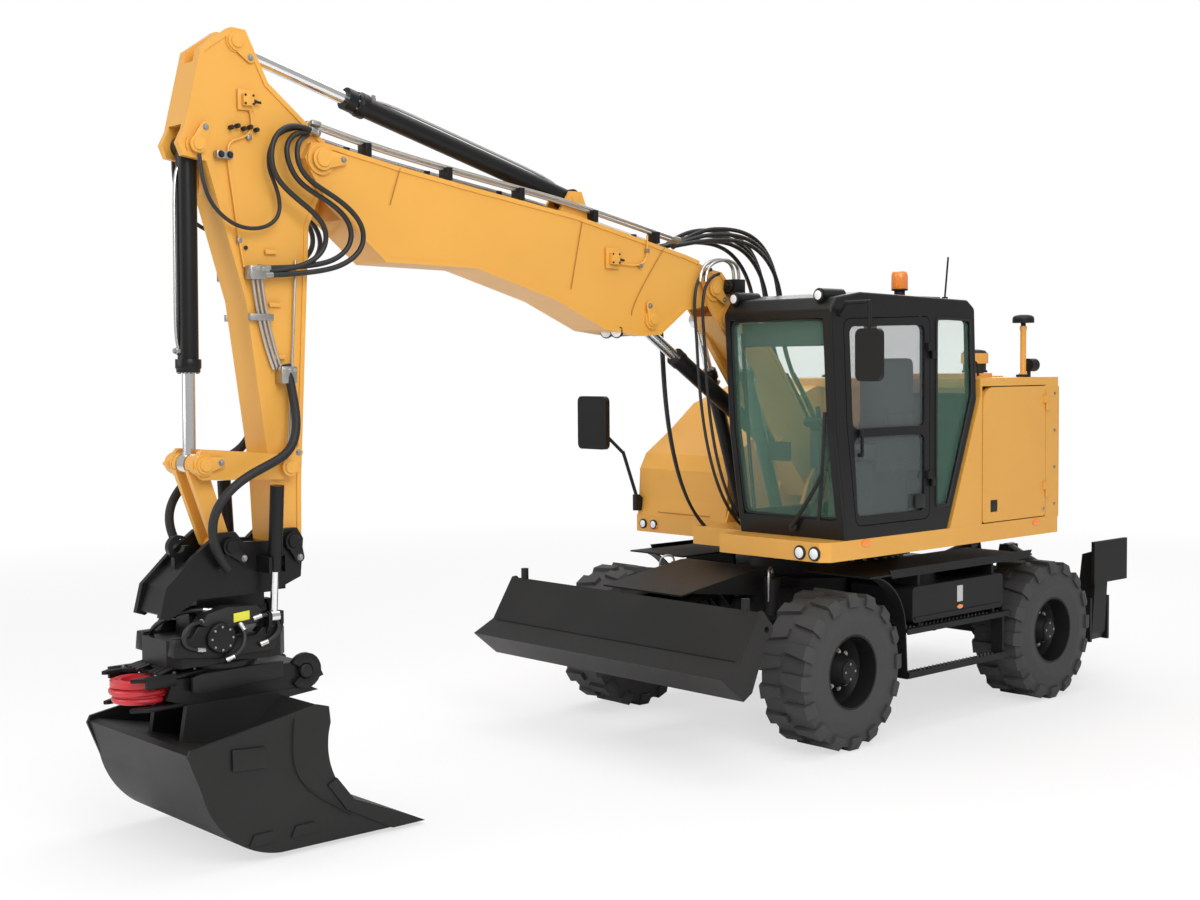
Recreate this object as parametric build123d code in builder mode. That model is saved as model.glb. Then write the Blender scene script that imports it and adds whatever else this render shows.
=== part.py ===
from build123d import *
from math import cos, pi, sin, sqrt
import os

# A wheeled excavator with a two-piece boom, a tiltrotator and a grading bucket.
# Millimetres. +X is ahead, +Y is the driver's left, +Z is up, and Z 0 is the ground.
# The origin is on the ground under the middle of the machine's length.

# Running gears
front_axle_x = -510.0
wheelbase = 2500.0
tyre_radius = 549.0
tyre_width = 440.0
tyre_centre_y = 1050.0
lug_height = 30.0
lug_count = 16
rim_radius = 262.0
steer_pivot_y = 760.0

# Chassis
chassis_half_width = 350.0
chassis_floor_z = 620.0
chassis_deck_z = 1010.0
slew_behind_front_axle = 1200.0
slew_ring_radius = 610.0
slew_ring_foot_z = 1180.0
slew_gap = 0.5
blade_pivot_ahead = 300.0
blade_pivot_z = 500.0
blade_half_width = 1270.0
blade_end_plate = 25.0
tie_bore_radius = 22.0
tow_bore_radius = 21.0
tow_lug_thickness = 50.0
outrigger_pivot_behind = 970.0
outrigger_pivot_y = 1000.0
outrigger_pivot_z = 400.0

# Upper structure
deck_floor_z = 1330.0
deck_top_z = 1465.0
body_half_width = 1250.0
tail_radius = 1850.0
cab_right_y = 265.0
cab_floor_z = deck_top_z
cab_wall = 55.0
door_wall = 45.0
door_gap = 6.0
hood_top_z = 2560.0

# Pins of the boom, arm and tool, from the front axle and the ground
boom_foot_pin = (front_axle_x - 950.0, 1750.0)
boom_joint_pin = (front_axle_x + 200.0, 3230.0)
arm_pin = (front_axle_x + 3540.0, 3890.0)
tool_pin = (front_axle_x + 3780.0, 1680.0)
rocker_pin = (front_axle_x + 3800.0, 2110.0)
rocker_end_pin = (front_axle_x + 4330.0, 2145.0)
link_end_pin = (front_axle_x + 4180.0, 1680.0)
lift_base_pin = (front_axle_x - 420.0, 1560.0)
lift_rod_pin = (front_axle_x + 60.0, 3010.0)
adjust_base_pin = (front_axle_x - 560.0, 2060.0)
adjust_rod_pin = (front_axle_x + 870.0, 2995.0)
arm_ram_base_pin = (front_axle_x + 1500.0, 3800.0)
arm_ram_rod_pin = (front_axle_x + 4050.0, 4510.0)
bucket_ram_base_pin = (front_axle_x + 4310.0, 3915.0)

blade_ram_base = (front_axle_x + 190.0, 1045.0)
blade_rod_pin = (front_axle_x + 850.0, 935.0)
blade_ram_y = 120.0
outrigger_ram_base_y, outrigger_ram_base_z = 200.0, 1040.0
outrigger_eye_y, outrigger_eye_z = 925.0, 700.0
tilt_ram_x = front_axle_x + 3950.0
tilt_trunnion_y, tilt_trunnion_z = 262.0, 1570.0
tilt_eye_y, tilt_eye_z = 236.0, 1270.0

# How far each ram's rod can go in and out from where it stands
lift_in, lift_out = 300.0, 360.0
adjust_in, adjust_out = 370.0, 370.0
arm_in, arm_out = 720.0, 480.0
bucket_in, bucket_out = 420.0, 520.0
blade_in, blade_out = 10.0, 370.0
outrigger_in, outrigger_out = 10.0, 515.0
tilt_stroke = 165.0

# Fits
fit = 0.08
pin_gap = 4.0
seat = 0.3

rear_axle_x = front_axle_x - wheelbase
slew_x = front_axle_x - slew_behind_front_axle


def side_form(points, y_left, y_right, mode=Mode.ADD, radius=0.0):
    """Side outline in X and Z, thick from one Y to another, with rounded corners if asked."""
    with BuildSketch(Plane.XZ.offset(-y_left)) as outline:
        with BuildLine():
            Polyline(*points, close=True)
        make_face()
        if radius:
            fillet(outline.vertices(), radius)
    extrude(outline.sketch, amount=y_left - y_right, mode=mode)


def plan_form(points, z_low, z_high, mode=Mode.ADD, radius=0.0):
    """Plan outline in X and Y, thick from one Z to another, with rounded corners if asked."""
    with BuildSketch(Plane.XY.offset(z_low)) as outline:
        with BuildLine():
            Polyline(*points, close=True)
        make_face()
        if radius:
            fillet(outline.vertices(), radius)
    extrude(outline.sketch, amount=z_high - z_low, mode=mode)


def front_form(points, x_rear, x_front, mode=Mode.ADD, radius=0.0):
    """Front outline in Y and Z, thick from one X to another, with rounded corners if asked."""
    with BuildSketch(Plane.YZ.offset(x_rear)) as outline:
        with BuildLine():
            Polyline(*points, close=True)
        make_face()
        if radius:
            fillet(outline.vertices(), radius)
    extrude(outline.sketch, amount=x_front - x_rear, mode=mode)


def curved_side(runs, y_left, y_right, mode=Mode.ADD):
    """Side outline of straight runs with two points and arcs with three."""
    with BuildSketch(Plane.XZ.offset(-y_left)) as outline:
        with BuildLine():
            for run in runs:
                if len(run) == 2:
                    Line(*run)
                else:
                    ThreePointArc(*run)
        make_face()
    extrude(outline.sketch, amount=y_left - y_right, mode=mode)


def sunk_web(points, edge, y_face, depth):
    """Sink a side plate between its flanges, on one side of the machine."""
    inner = y_face - depth if y_face > 0 else y_face + depth
    with BuildSketch(Plane.XZ.offset(-max(y_face, inner))) as outline:
        with BuildLine():
            Polyline(*points, close=True)
        make_face()
        offset(amount=-edge, kind=Kind.INTERSECTION)
    extrude(outline.sketch, amount=depth, mode=Mode.SUBTRACT)


def block(x_rear, x_front, y_right, y_left, z_low, z_high, mode=Mode.ADD, radius=0.0):
    """Upright block between six planes."""
    corners = [(x_rear, y_right), (x_front, y_right), (x_front, y_left), (x_rear, y_left)]
    plan_form(corners, z_low, z_high, mode, radius)


def bar(start, end, radius, mode=Mode.ADD):
    """Round bar from one point to another."""
    run = Vector(end) - Vector(start)
    with BuildSketch(Plane(origin=start, z_dir=run)) as section:
        Circle(radius)
    extrude(section.sketch, amount=run.length, mode=mode)


def cross_bar(pin, y_left, y_right, radius, mode=Mode.ADD):
    """Round bar across the machine on a pin's line."""
    bar((pin[0], y_left, pin[1]), (pin[0], y_right, pin[1]), radius, mode)


def ram_barrel(base, rod_pin, across, radius, rod_radius, rod_in, pin_radius, eye_width):
    """Barrel with its eye, head and rod bore, pointing at the rod's pin."""
    foot, tip = Vector(base), Vector(rod_pin)
    line = (tip - foot).normalized()
    cross = Vector(across).normalized()
    closed = (tip - foot).length - rod_in
    head = closed - pin_radius * 2 - 25
    bar(foot + line * pin_radius, foot + line * head, radius)
    bar(foot + line * (head - radius), foot + line * head, radius * 1.1)
    bar(foot - cross * (eye_width / 2), foot + cross * (eye_width / 2), pin_radius * 1.75)
    bar(foot - cross * eye_width, foot + cross * eye_width, pin_radius + fit, Mode.SUBTRACT)
    bar(foot + line * pin_radius * 2.6, foot + line * (head + 10), rod_radius + fit, Mode.SUBTRACT)


def ram_rod(base, rod_pin, across, rod_radius, rod_in, rod_out, pin_radius, eye_width):
    """Rod with its eye, long enough to stay in its barrel."""
    foot, tip = Vector(base), Vector(rod_pin)
    line = (tip - foot).normalized()
    cross = Vector(across).normalized()
    head = (tip - foot).length - rod_in - pin_radius * 2 - 25
    inner = head - rod_out - 70
    bar(foot + line * inner, tip, rod_radius)
    bar(tip - line * pin_radius * 2, tip, rod_radius * 1.1)
    bar(tip - cross * (eye_width / 2), tip + cross * (eye_width / 2), pin_radius * 1.75)


def write(piece, name):
    """Label a finished sub-part and write its file."""
    piece.part.label = name
    export_step(piece.part, f"parts/{name}.step")


os.makedirs("parts", exist_ok=True)

left = Vector(0, 1, 0)
ahead = Vector(1, 0, 0)

# Chassis frame: centre beam, ring seat, blade lugs and the rear outrigger box
ring_gap_z = deck_floor_z - 60
outrigger_x = rear_axle_x - outrigger_pivot_behind
tow_lug_z = 640.0
blade_pivot_x = front_axle_x + blade_pivot_ahead
with BuildPart() as chassis_frame:
    side_form(
        [
            (front_axle_x + 90, 790),
            (front_axle_x + 90, chassis_deck_z),
            (rear_axle_x - 300, chassis_deck_z),
            (outrigger_x + 190, 860),
            (outrigger_x - 100, 860),
            (outrigger_x - 100, 560),
            (rear_axle_x - 380, 560),
            (rear_axle_x - 300, 690),
            (rear_axle_x + 300, 690),
            (rear_axle_x + 420, chassis_floor_z),
            (front_axle_x - 420, chassis_floor_z),
            (front_axle_x - 280, 790),
        ],
        chassis_half_width,
        -chassis_half_width,
    )
    plan_form(
        [
            (slew_x + 720, chassis_half_width),
            (slew_x + 430, 560),
            (slew_x - 430, 560),
            (slew_x - 720, chassis_half_width),
            (slew_x - 720, -chassis_half_width),
            (slew_x - 430, -560),
            (slew_x + 430, -560),
            (slew_x + 720, -chassis_half_width),
        ],
        760,
        chassis_deck_z + 60,
    )
    bar((slew_x, 0, chassis_deck_z), (slew_x, 0, slew_ring_foot_z), slew_ring_radius)
    bar((slew_x, 0, slew_ring_foot_z - 30), (slew_x, 0, ring_gap_z - slew_gap), slew_ring_radius - 45)
    for side in (-1, 1):
        lug_y = side * 290
        side_form(
            [
                (front_axle_x + 60, 1000),
                (front_axle_x + 160, 1000),
                (blade_pivot_x + 80, blade_pivot_z + 60),
                (blade_pivot_x + 60, blade_pivot_z - 65),
                (blade_pivot_x - 60, blade_pivot_z - 65),
                (front_axle_x + 60, 800),
            ],
            lug_y + 22,
            lug_y - 22,
        )
        for gap in (-1, 1):
            ear_y = side * blade_ram_y + gap * 78
            side_form(
                [
                    (front_axle_x + 60, 1000),
                    (blade_ram_base[0] - 10, blade_ram_base[1] + 50),
                    (blade_ram_base[0] + 40, blade_ram_base[1] + 30),
                    (blade_ram_base[0] + 40, blade_ram_base[1] - 35),
                    (front_axle_x + 60, 860),
                ],
                ear_y + 10,
                ear_y - 10,
            )
        y = side * blade_ram_y
        cross_bar(blade_ram_base, y + 92, y - 92, 30)
        side_form(
            [
                (front_axle_x - 40, chassis_deck_z - 5),
                (front_axle_x + 60, chassis_deck_z - 5),
                (front_axle_x + 700, 1080),
                (front_axle_x + 700, 1090),
                (front_axle_x + 30, 1185),
                (front_axle_x - 40, 1185),
            ],
            side * 400,
            side * 370,
        )
        block(front_axle_x - 40, front_axle_x + 60, side * 340, side * 385, 950, chassis_deck_z)
        cross_bar((blade_pivot_x, blade_pivot_z), lug_y + 65, lug_y - 65, 38)
        block(outrigger_x - 150, outrigger_x - 120, 300 * side, 1090 * side, 330, 700)
        block(outrigger_x + 120, outrigger_x + 150, 300 * side, 1090 * side, 330, 700)
        block(outrigger_x - 150, outrigger_x + 150, 300 * side, 820 * side, 420, 600)
        for x in (outrigger_x - 74, outrigger_x + 58):
            front_form(
                [
                    (side * (outrigger_ram_base_y - 90), 855),
                    (side * (outrigger_ram_base_y - 50), outrigger_ram_base_z + 40),
                    (side * (outrigger_ram_base_y + 40), outrigger_ram_base_z + 40),
                    (side * (outrigger_ram_base_y + 70), 855),
                ],
                x,
                x + 16,
            )
        bar(
            (outrigger_x - 78, side * outrigger_ram_base_y, outrigger_ram_base_z),
            (outrigger_x + 78, side * outrigger_ram_base_y, outrigger_ram_base_z),
            28,
        )
        bar(
            (outrigger_x - 175, side * outrigger_pivot_y, outrigger_pivot_z),
            (outrigger_x + 175, side * outrigger_pivot_y, outrigger_pivot_z),
            40,
        )
    side_form(
        [
            (front_axle_x - 40, 1185),
            (front_axle_x + 30, 1185),
            (front_axle_x + 830, 1070),
            (front_axle_x + 830, 1082),
            (front_axle_x + 30, 1199),
            (front_axle_x - 40, 1199),
        ],
        400,
        -400,
    )
    block(outrigger_x - 260, outrigger_x - 95, -90, 90, tow_lug_z, tow_lug_z + tow_lug_thickness)
    bar((outrigger_x - 205, 0, tow_lug_z - 5), (outrigger_x - 205, 0, tow_lug_z + tow_lug_thickness + 5),
        tow_bore_radius, Mode.SUBTRACT)
write(chassis_frame, "chassis_frame")

# Front axle: housing, final drives and the forks that hold the knuckles
axle_z = tyre_radius
fork_height = 150.0
kingpin_radius = 32.0
front_x = front_axle_x
with BuildPart() as front_axle:
    bar((front_x, -steer_pivot_y + 105, axle_z), (front_x, steer_pivot_y - 105, axle_z), 95)
    with BuildSketch(Plane.XZ.offset(110)) as bowl:
        with Locations((front_x, axle_z)):
            Circle(140)
    extrude(bowl.sketch, amount=-220)
    chamfer(front_axle.edges().filter_by(GeomType.CIRCLE).filter_by(lambda e: e.radius > 120), 30)
    block(front_x - 90, front_x + 85, -230, 230, axle_z + 60, 790 - seat)
    for side in (-1, 1):
        fork_y = side * steer_pivot_y
        block(front_x - 48, front_x + 48, side * (steer_pivot_y - 150), side * (steer_pivot_y - 86),
              axle_z - fork_height, axle_z + fork_height)
        for z_low in (axle_z - fork_height, axle_z + fork_height - 45):
            plan_form(
                [
                    (front_x - 48, side * (steer_pivot_y - 140)),
                    (front_x + 48, side * (steer_pivot_y - 140)),
                    (front_x + 66, side * (steer_pivot_y - 40)),
                    (front_x + 48, side * (steer_pivot_y + 45)),
                    (front_x - 48, side * (steer_pivot_y + 45)),
                    (front_x - 66, side * (steer_pivot_y - 40)),
                ],
                z_low,
                z_low + 45,
            )
        bar((front_x, fork_y, axle_z - 160), (front_x, fork_y, axle_z + 160), kingpin_radius + fit,
            Mode.SUBTRACT)
write(front_axle, "front_axle")

# Knuckles: barrel with its kingpin, steering arm and stub axle
hub_inner_y = 905.0
stub_radius = 60.0
stub_end_y = 985.0
steer_arm = 170.0
for side, word in ((1, "left"), (-1, "right")):
    with BuildPart() as knuckle:
        pivot_y = side * steer_pivot_y
        bar((front_x, pivot_y, axle_z - 103), (front_x, pivot_y, axle_z + 103), 58)
        bar((front_x, pivot_y, axle_z - 158), (front_x, pivot_y, axle_z + 158), kingpin_radius)
        bar((front_x, pivot_y, axle_z), (front_x, side * hub_inner_y, axle_z), 98)
        bar((front_x, side * hub_inner_y, axle_z), (front_x, side * stub_end_y, axle_z), stub_radius)
        plan_form(
            [
                (front_x, pivot_y + side * 52),
                (front_x - steer_arm - 30, pivot_y + side * 30),
                (front_x - steer_arm - 30, pivot_y - side * 30),
                (front_x, pivot_y - side * 40),
            ],
            axle_z - 100,
            axle_z - 60,
        )
    write(knuckle, f"knuckle_{word}")

# Track rod between the two steering arms
rod_x = front_x - steer_arm
with BuildPart() as track_rod:
    rod_z = axle_z - 100 - seat - 24
    bar((rod_x, -steer_pivot_y + 25, rod_z), (rod_x, steer_pivot_y - 25, rod_z), 22)
    for side in (-1, 1):
        bar((rod_x, side * steer_pivot_y, axle_z - 152), (rod_x, side * steer_pivot_y, axle_z - 100 - seat),
            30)
write(track_rod, "track_rod")

# Rear axle with the gearbox and the two shafts that drive the axles
with BuildPart() as rear_axle:
    bar((rear_axle_x, -hub_inner_y, axle_z), (rear_axle_x, hub_inner_y, axle_z), 100)
    bar((rear_axle_x, -110, axle_z), (rear_axle_x, 110, axle_z), 139)
    for side in (-1, 1):
        bar((rear_axle_x, side * 560, axle_z), (rear_axle_x, side * 640, axle_z), 138)
        bar((rear_axle_x, side * hub_inner_y, axle_z), (rear_axle_x, side * stub_end_y, axle_z),
            stub_radius)
        block(rear_axle_x - 80, rear_axle_x + 80, side * 220, side * 340, axle_z + 80, 690)
    block(slew_x + 120, slew_x + 520, -170, 170, 430, chassis_floor_z)
    bar((slew_x + 520, 0, axle_z - 20), (front_x - 141, 0, axle_z - 20), 42)
    bar((slew_x + 120, 0, axle_z - 20), (rear_axle_x, 0, axle_z - 20), 42)
write(rear_axle, "rear_axle")

# Wheels
carcass_radius = tyre_radius - lug_height
half_tyre = tyre_width / 2
bead_half = 195.0
tyre_sides = 2 * lug_count
shoulder = 34.0
lug_root = carcass_radius - 62
lug_top = sqrt(tyre_radius**2 - 60**2)
tyre_profile = [
    (-bead_half, (rim_radius + seat) / cos(pi / tyre_sides)),
    (-bead_half, rim_radius + 12),
    (-half_tyre, rim_radius + 95),
    (-half_tyre + shoulder, carcass_radius),
    (half_tyre - shoulder, carcass_radius),
    (half_tyre, rim_radius + 95),
    (bead_half, rim_radius + 12),
    (bead_half, (rim_radius + seat) / cos(pi / tyre_sides)),
]
rings = []
for place in range(tyre_sides + 1):
    turn = (place + 0.5) * 2 * pi / tyre_sides
    rings.append([(r * cos(turn), y, r * sin(turn)) for y, r in tyre_profile])
tyre_faces = []
for here, after in zip(rings, rings[1:]):
    for place in range(len(tyre_profile)):
        corners = [here[place - 1], here[place], after[place], after[place - 1]]
        tyre_faces.append(Face(Wire.make_polygon(corners)))
with BuildPart() as tyre_form:
    add(Solid(Shell(tyre_faces)))
    lugs = []
    for row, turn in ((1, 0.0), (-1, 0.5)):
        with BuildPart(mode=Mode.PRIVATE) as lug:
            plan_form(
                [
                    (-40, row * 8),
                    (26, row * 8),
                    (66, row * (half_tyre - 2)),
                    (-36, row * (half_tyre - 2)),
                ],
                lug_root,
                lug_top,
            )
            front_form(
                [
                    (row * (half_tyre - 30), tyre_radius),
                    (row * (half_tyre + 1), tyre_radius),
                    (row * (half_tyre + 1), tyre_radius - 60),
                ],
                -100,
                150,
                Mode.SUBTRACT,
            )
        lugs += [
            lug.part.rotate(Axis.Y, (place + turn) * 360 / lug_count) for place in range(lug_count)
        ]
    add(lugs)
wheels = [
    ("front_left", front_x, 1),
    ("front_right", front_x, -1),
    ("rear_left", rear_axle_x, 1),
    ("rear_right", rear_axle_x, -1),
]
for word, x, side in wheels:
    wheel_axis = Axis((x, 0, axle_z), (0, 1, 0))
    middle = side * tyre_centre_y
    with BuildPart() as tyre:
        with Locations((x, middle, axle_z)):
            add(tyre_form.part)
    write(tyre, f"tyre_{word}")

    with BuildPart() as rim:
        with BuildSketch(Plane.YZ.offset(x)):
            with BuildLine():
                Polyline(
                    (middle - side * bead_half, axle_z + rim_radius),
                    (middle + side * bead_half, axle_z + rim_radius),
                    (middle + side * bead_half, axle_z + rim_radius - 14),
                    (middle + side * 60, axle_z + rim_radius - 26),
                    (middle + side * 10, axle_z + 200),
                    (middle - side * 30, axle_z + 165),
                    (middle - side * 30, axle_z + 130),
                    (middle + side * 60, axle_z + 125),
                    (side * 1205, axle_z + 85),
                    (side * 1205, axle_z),
                    (side * (stub_end_y + 6), axle_z),
                    (side * (stub_end_y + 6), axle_z + stub_radius + fit),
                    (side * (hub_inner_y + seat), axle_z + stub_radius + fit),
                    (side * (hub_inner_y + seat), axle_z + 110),
                    (middle - side * 55, axle_z + 130),
                    (middle - side * 55, axle_z + 170),
                    (middle - side * 20, axle_z + 215),
                    (middle - side * 20, axle_z + rim_radius - 26),
                    (middle - side * bead_half, axle_z + rim_radius - 14),
                    close=True,
                )
            make_face()
        revolve(axis=wheel_axis)
    write(rim, f"rim_{word}")

# Dozer blade, drawn raised as it stands
mould_top = (front_x + 981, 1075.0)
mould_fold = (front_x + 1168, 777.0)
mould_tip = (front_x + 1355, 685.0)
sole_back = (front_x + 1142, 514.0)
blade_eye = (front_x + 918, 955.0)
with BuildPart() as blade:
    section = [
        mould_top,
        mould_fold,
        mould_tip,
        sole_back,
        (front_x + 1090, 560),
        (front_x + 1075, 740),
        (front_x + 955, 1030),
    ]
    side_form(section, blade_half_width, -blade_half_width)
    hollow = [
        (front_x + 1140, 770),
        (front_x + 1300, 690),
        (front_x + 1142, 550),
        (front_x + 1110, 585),
    ]
    side_form(hollow, blade_half_width - 25, -blade_half_width + 25, Mode.SUBTRACT)
    for side in (-1, 1):
        side_form(
            [
                (front_x + 950, 1080),
                (mould_top[0], mould_top[1]),
                (mould_fold[0] - 5, mould_fold[1]),
                (sole_back[0], sole_back[1]),
                (front_x + 1060, 560),
                (blade_eye[0] - 5, blade_eye[1] - 62),
                (blade_eye[0] - 46, blade_eye[1] - 22),
                (blade_eye[0] - 42, blade_eye[1] + 34),
            ],
            side * blade_half_width,
            side * (blade_half_width - blade_end_plate),
        )
        cross_bar(blade_eye, side * blade_half_width, side * (blade_half_width - blade_end_plate), 60)
        cross_bar(blade_eye, side * (blade_half_width + 5), side * (blade_half_width - blade_end_plate - 5),
                  tie_bore_radius, Mode.SUBTRACT)
        side_form(
            [
                (blade_pivot_x - 75, blade_pivot_z),
                (blade_pivot_x - 40, blade_pivot_z + 70),
                (blade_pivot_x + 60, blade_pivot_z + 90),
                (front_x + 1090, 800),
                (front_x + 1100, 560),
                (blade_pivot_x + 50, blade_pivot_z - 72),
                (blade_pivot_x - 40, blade_pivot_z - 65),
            ],
            side * 290 + side * 62,
            side * 290 + side * (22 + seat),
        )
        cross_bar((blade_pivot_x, blade_pivot_z), side * 400, side * 250, 38 + fit, Mode.SUBTRACT)
        for gap in (-1, 1):
            lug_y = side * blade_ram_y + gap * 78
            side_form(
                [
                    (blade_rod_pin[0] - 45, blade_rod_pin[1] + 30),
                    (blade_rod_pin[0] + 20, blade_rod_pin[1] + 50),
                    (front_x + 1010, 960),
                    (front_x + 1085, 760),
                    (front_x + 1060, 700),
                    (blade_rod_pin[0] - 30, blade_rod_pin[1] - 45),
                ],
                lug_y + 10,
                lug_y - 10,
            )
        bar(
            (mould_top[0] - 12, side * 1130, mould_top[1] - 30),
            (mould_top[0] - 12, side * 1130, mould_top[1] + 75),
            28,
        )
write(blade, "blade")

with BuildPart() as blade_ram_barrels:
    for side in (-1, 1):
        y = side * blade_ram_y
        ram_barrel((blade_ram_base[0], y, blade_ram_base[1]), (blade_rod_pin[0], y, blade_rod_pin[1]),
                   left, 58, 30, blade_in, 30, 130)
write(blade_ram_barrels, "blade_ram_barrels")
with BuildPart() as blade_ram_rods:
    for side in (-1, 1):
        y = side * blade_ram_y
        ram_rod((blade_ram_base[0], y, blade_ram_base[1]), (blade_rod_pin[0], y, blade_rod_pin[1]),
                left, 30, blade_in, blade_out, 30, 130)
write(blade_ram_rods, "blade_ram_rods")

# Outriggers, stowed upright behind the rear wheels
pad_low_z, pad_high_z = 830.0, 1180.0
for side, word in ((1, "left"), (-1, "right")):
    with BuildPart() as outrigger:
        front_form(
            [
                (side * (outrigger_pivot_y - 75), outrigger_pivot_z),
                (side * (outrigger_pivot_y - 50), outrigger_pivot_z - 62),
                (side * (outrigger_pivot_y + 50), outrigger_pivot_z - 62),
                (side * (outrigger_pivot_y + 80), outrigger_pivot_z),
                (side * (outrigger_pivot_y + 110), 1000),
                (side * (outrigger_pivot_y + 70), 1090),
                (side * (outrigger_pivot_y - 20), 1060),
                (side * (outrigger_pivot_y - 60), 700),
            ],
            outrigger_x - 100,
            outrigger_x + 100,
        )
        bar(
            (outrigger_x - 300, side * outrigger_pivot_y, outrigger_pivot_z),
            (outrigger_x + 300, side * outrigger_pivot_y, outrigger_pivot_z),
            40 + fit,
            Mode.SUBTRACT,
        )
        block(outrigger_x - 330, outrigger_x + 190, side * 1120, side * 1150, pad_low_z, pad_high_z)
        block(outrigger_x - 60, outrigger_x + 60, side * 1060, side * 1125, 930, 1080)
        for gap in (-1, 1):
            x = outrigger_x + gap * 52
            front_form(
                [
                    (side * (outrigger_eye_y - 50), outrigger_eye_z + 40),
                    (side * (outrigger_pivot_y - 20), outrigger_eye_z + 120),
                    (side * (outrigger_pivot_y - 20), outrigger_eye_z - 120),
                    (side * (outrigger_eye_y - 50), outrigger_eye_z - 40),
                ],
                x - 10,
                x + 10,
            )
        block(outrigger_x - 41, outrigger_x + 41, side * (outrigger_eye_y - 90),
              side * (outrigger_eye_y + 108), outrigger_pivot_z + 50, outrigger_eye_z + 90, Mode.SUBTRACT)
    write(outrigger, f"outrigger_{word}")
    base = (outrigger_x, side * outrigger_ram_base_y, outrigger_ram_base_z)
    tip = (outrigger_x, side * outrigger_eye_y, outrigger_eye_z)
    with BuildPart() as outrigger_barrel:
        ram_barrel(base, tip, ahead, 50, 28, outrigger_in, 28, 112)
    write(outrigger_barrel, f"outrigger_barrel_{word}")
    with BuildPart() as outrigger_rod:
        ram_rod(base, tip, ahead, 28, outrigger_in, outrigger_out, 28, 74)
    write(outrigger_rod, f"outrigger_rod_{word}")

# Steps, toolboxes and fenders along both sides
step_face_y = 1220.0
hanger_y = 1100.0
hanger_foot_x = front_x - 667
rear_hanger_x = front_x - 1880
band = 12.0
with BuildPart() as steps:
    for side in (-1, 1):
        outer = side * step_face_y
        block(front_x - 2240, front_x - 215, side * 620, outer, 1170, 1182)
        side_form(
            [
                (front_x - 2190, 1150),
                (front_x - 2240, 1210),
                (front_x - 440, 1210),
                (front_x - 470, 1150),
            ],
            outer,
            outer - side * 16,
        )
        curved_side(
            [
                ((front_x - 215, 1182), (front_x - 503, 1085), (front_x - 640 - band, 830)),
                ((front_x - 640 - band, 830), (hanger_foot_x - band, 400)),
                ((hanger_foot_x - band, 400), (hanger_foot_x, 400)),
                ((hanger_foot_x, 400), (front_x - 640, 830)),
                ((front_x - 640, 830), (front_x - 495, 1077), (front_x - 215, 1182 - band)),
                ((front_x - 215, 1182 - band), (front_x - 215, 1182)),
            ],
            side * 1200,
            side * hanger_y,
        )
        block(front_x - 750, front_x - 645, side * hanger_y, outer, 740, 765)
        block(front_x - 1950, front_x - 748, side * 980, outer, 740, 765)
        side_form(
            [
                (front_x - 1950, 700),
                (front_x - 1950, 765),
                (front_x - 645, 765),
                (front_x - 660, 725),
                (front_x - 1900, 725),
            ],
            outer,
            outer - side * 14,
        )
        block(front_x - 1920, hanger_foot_x, side * hanger_y, outer, 405, 430)
        block(front_x - 1920, hanger_foot_x, outer - side * 14, outer, 425, 452)
        with BuildSketch(Plane.XZ.offset(-side * 1200)) as box_side:
            with Locations((front_x - 1300, 930)):
                RectangleRounded(1140, 260, 35)
        extrude(box_side.sketch, amount=side * 560)
        block(front_x - 1845, front_x - 755, side * 1195, side * 1208, 822, 838)
        block(rear_hanger_x - 12, rear_hanger_x + 12, side * hanger_y, side * 1200, 428, 742)
        block(rear_hanger_x - 12, rear_hanger_x + 12, side * 1000, side * 1200, 763, 805)
        for x in (front_x - 830, front_x - 1760):
            block(x - 12, x + 12, side * 640, side * 1180, 1055, 1172)
            block(x - 12, x + 12, side * 1000, side * 1190, 763, 805)
        block(slew_x - 250, slew_x + 250, side * 560, side * 640, 820, chassis_deck_z)
write(steps, "steps")

# Upper frame: deck with its skirt, turning ring and the boom's foot plates
cab_front_x = front_x + 300
right_front_x = front_x - 320
tail_corner_x = slew_x - sqrt(tail_radius**2 - body_half_width**2)
deck_rear_x = tail_corner_x + 14
well_front_x = front_x + 40
boom_side_y = 118.0
lift_y = 184.0
foot_plate = 34.0
with BuildPart() as upper_frame:
    plan_form(
        [
            (cab_front_x, cab_right_y),
            (cab_front_x, body_half_width - 60),
            (cab_front_x - 60, body_half_width),
            (deck_rear_x, body_half_width),
            (deck_rear_x, -body_half_width),
            (right_front_x, -body_half_width),
            (right_front_x, -cab_right_y),
            (well_front_x, -cab_right_y + 10),
            (well_front_x, cab_right_y),
        ],
        deck_floor_z,
        deck_top_z,
    )
    bar((slew_x, 0, ring_gap_z), (slew_x, 0, deck_floor_z), slew_ring_radius - 45)
    for side in (-1, 1):
        side_form(
            [
                (boom_foot_pin[0] - 330, deck_top_z),
                (boom_foot_pin[0] - 130, boom_foot_pin[1] + 60),
                (boom_foot_pin[0] - 60, boom_foot_pin[1] + 110),
                (boom_foot_pin[0] + 60, boom_foot_pin[1] + 110),
                (boom_foot_pin[0] + 130, boom_foot_pin[1] + 30),
                (boom_foot_pin[0] + 260, deck_top_z),
            ],
            side * (boom_side_y + pin_gap + foot_plate),
            side * (boom_side_y + pin_gap),
        )
        for y in (lift_y - 66, lift_y + 64):
            side_form(
                [
                    (lift_base_pin[0] - 110, deck_top_z),
                    (lift_base_pin[0] - 60, lift_base_pin[1] + 40),
                    (lift_base_pin[0] + 60, lift_base_pin[1] + 40),
                    (lift_base_pin[0] + 110, deck_top_z),
                ],
                side * y + 8,
                side * y - 8,
            )
        cross_bar(lift_base_pin, side * (lift_y + 72), side * (lift_y - 76), 32)
    cross_bar(boom_foot_pin, boom_side_y + 36, -boom_side_y - 36, 45)
write(upper_frame, "upper_frame")

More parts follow.
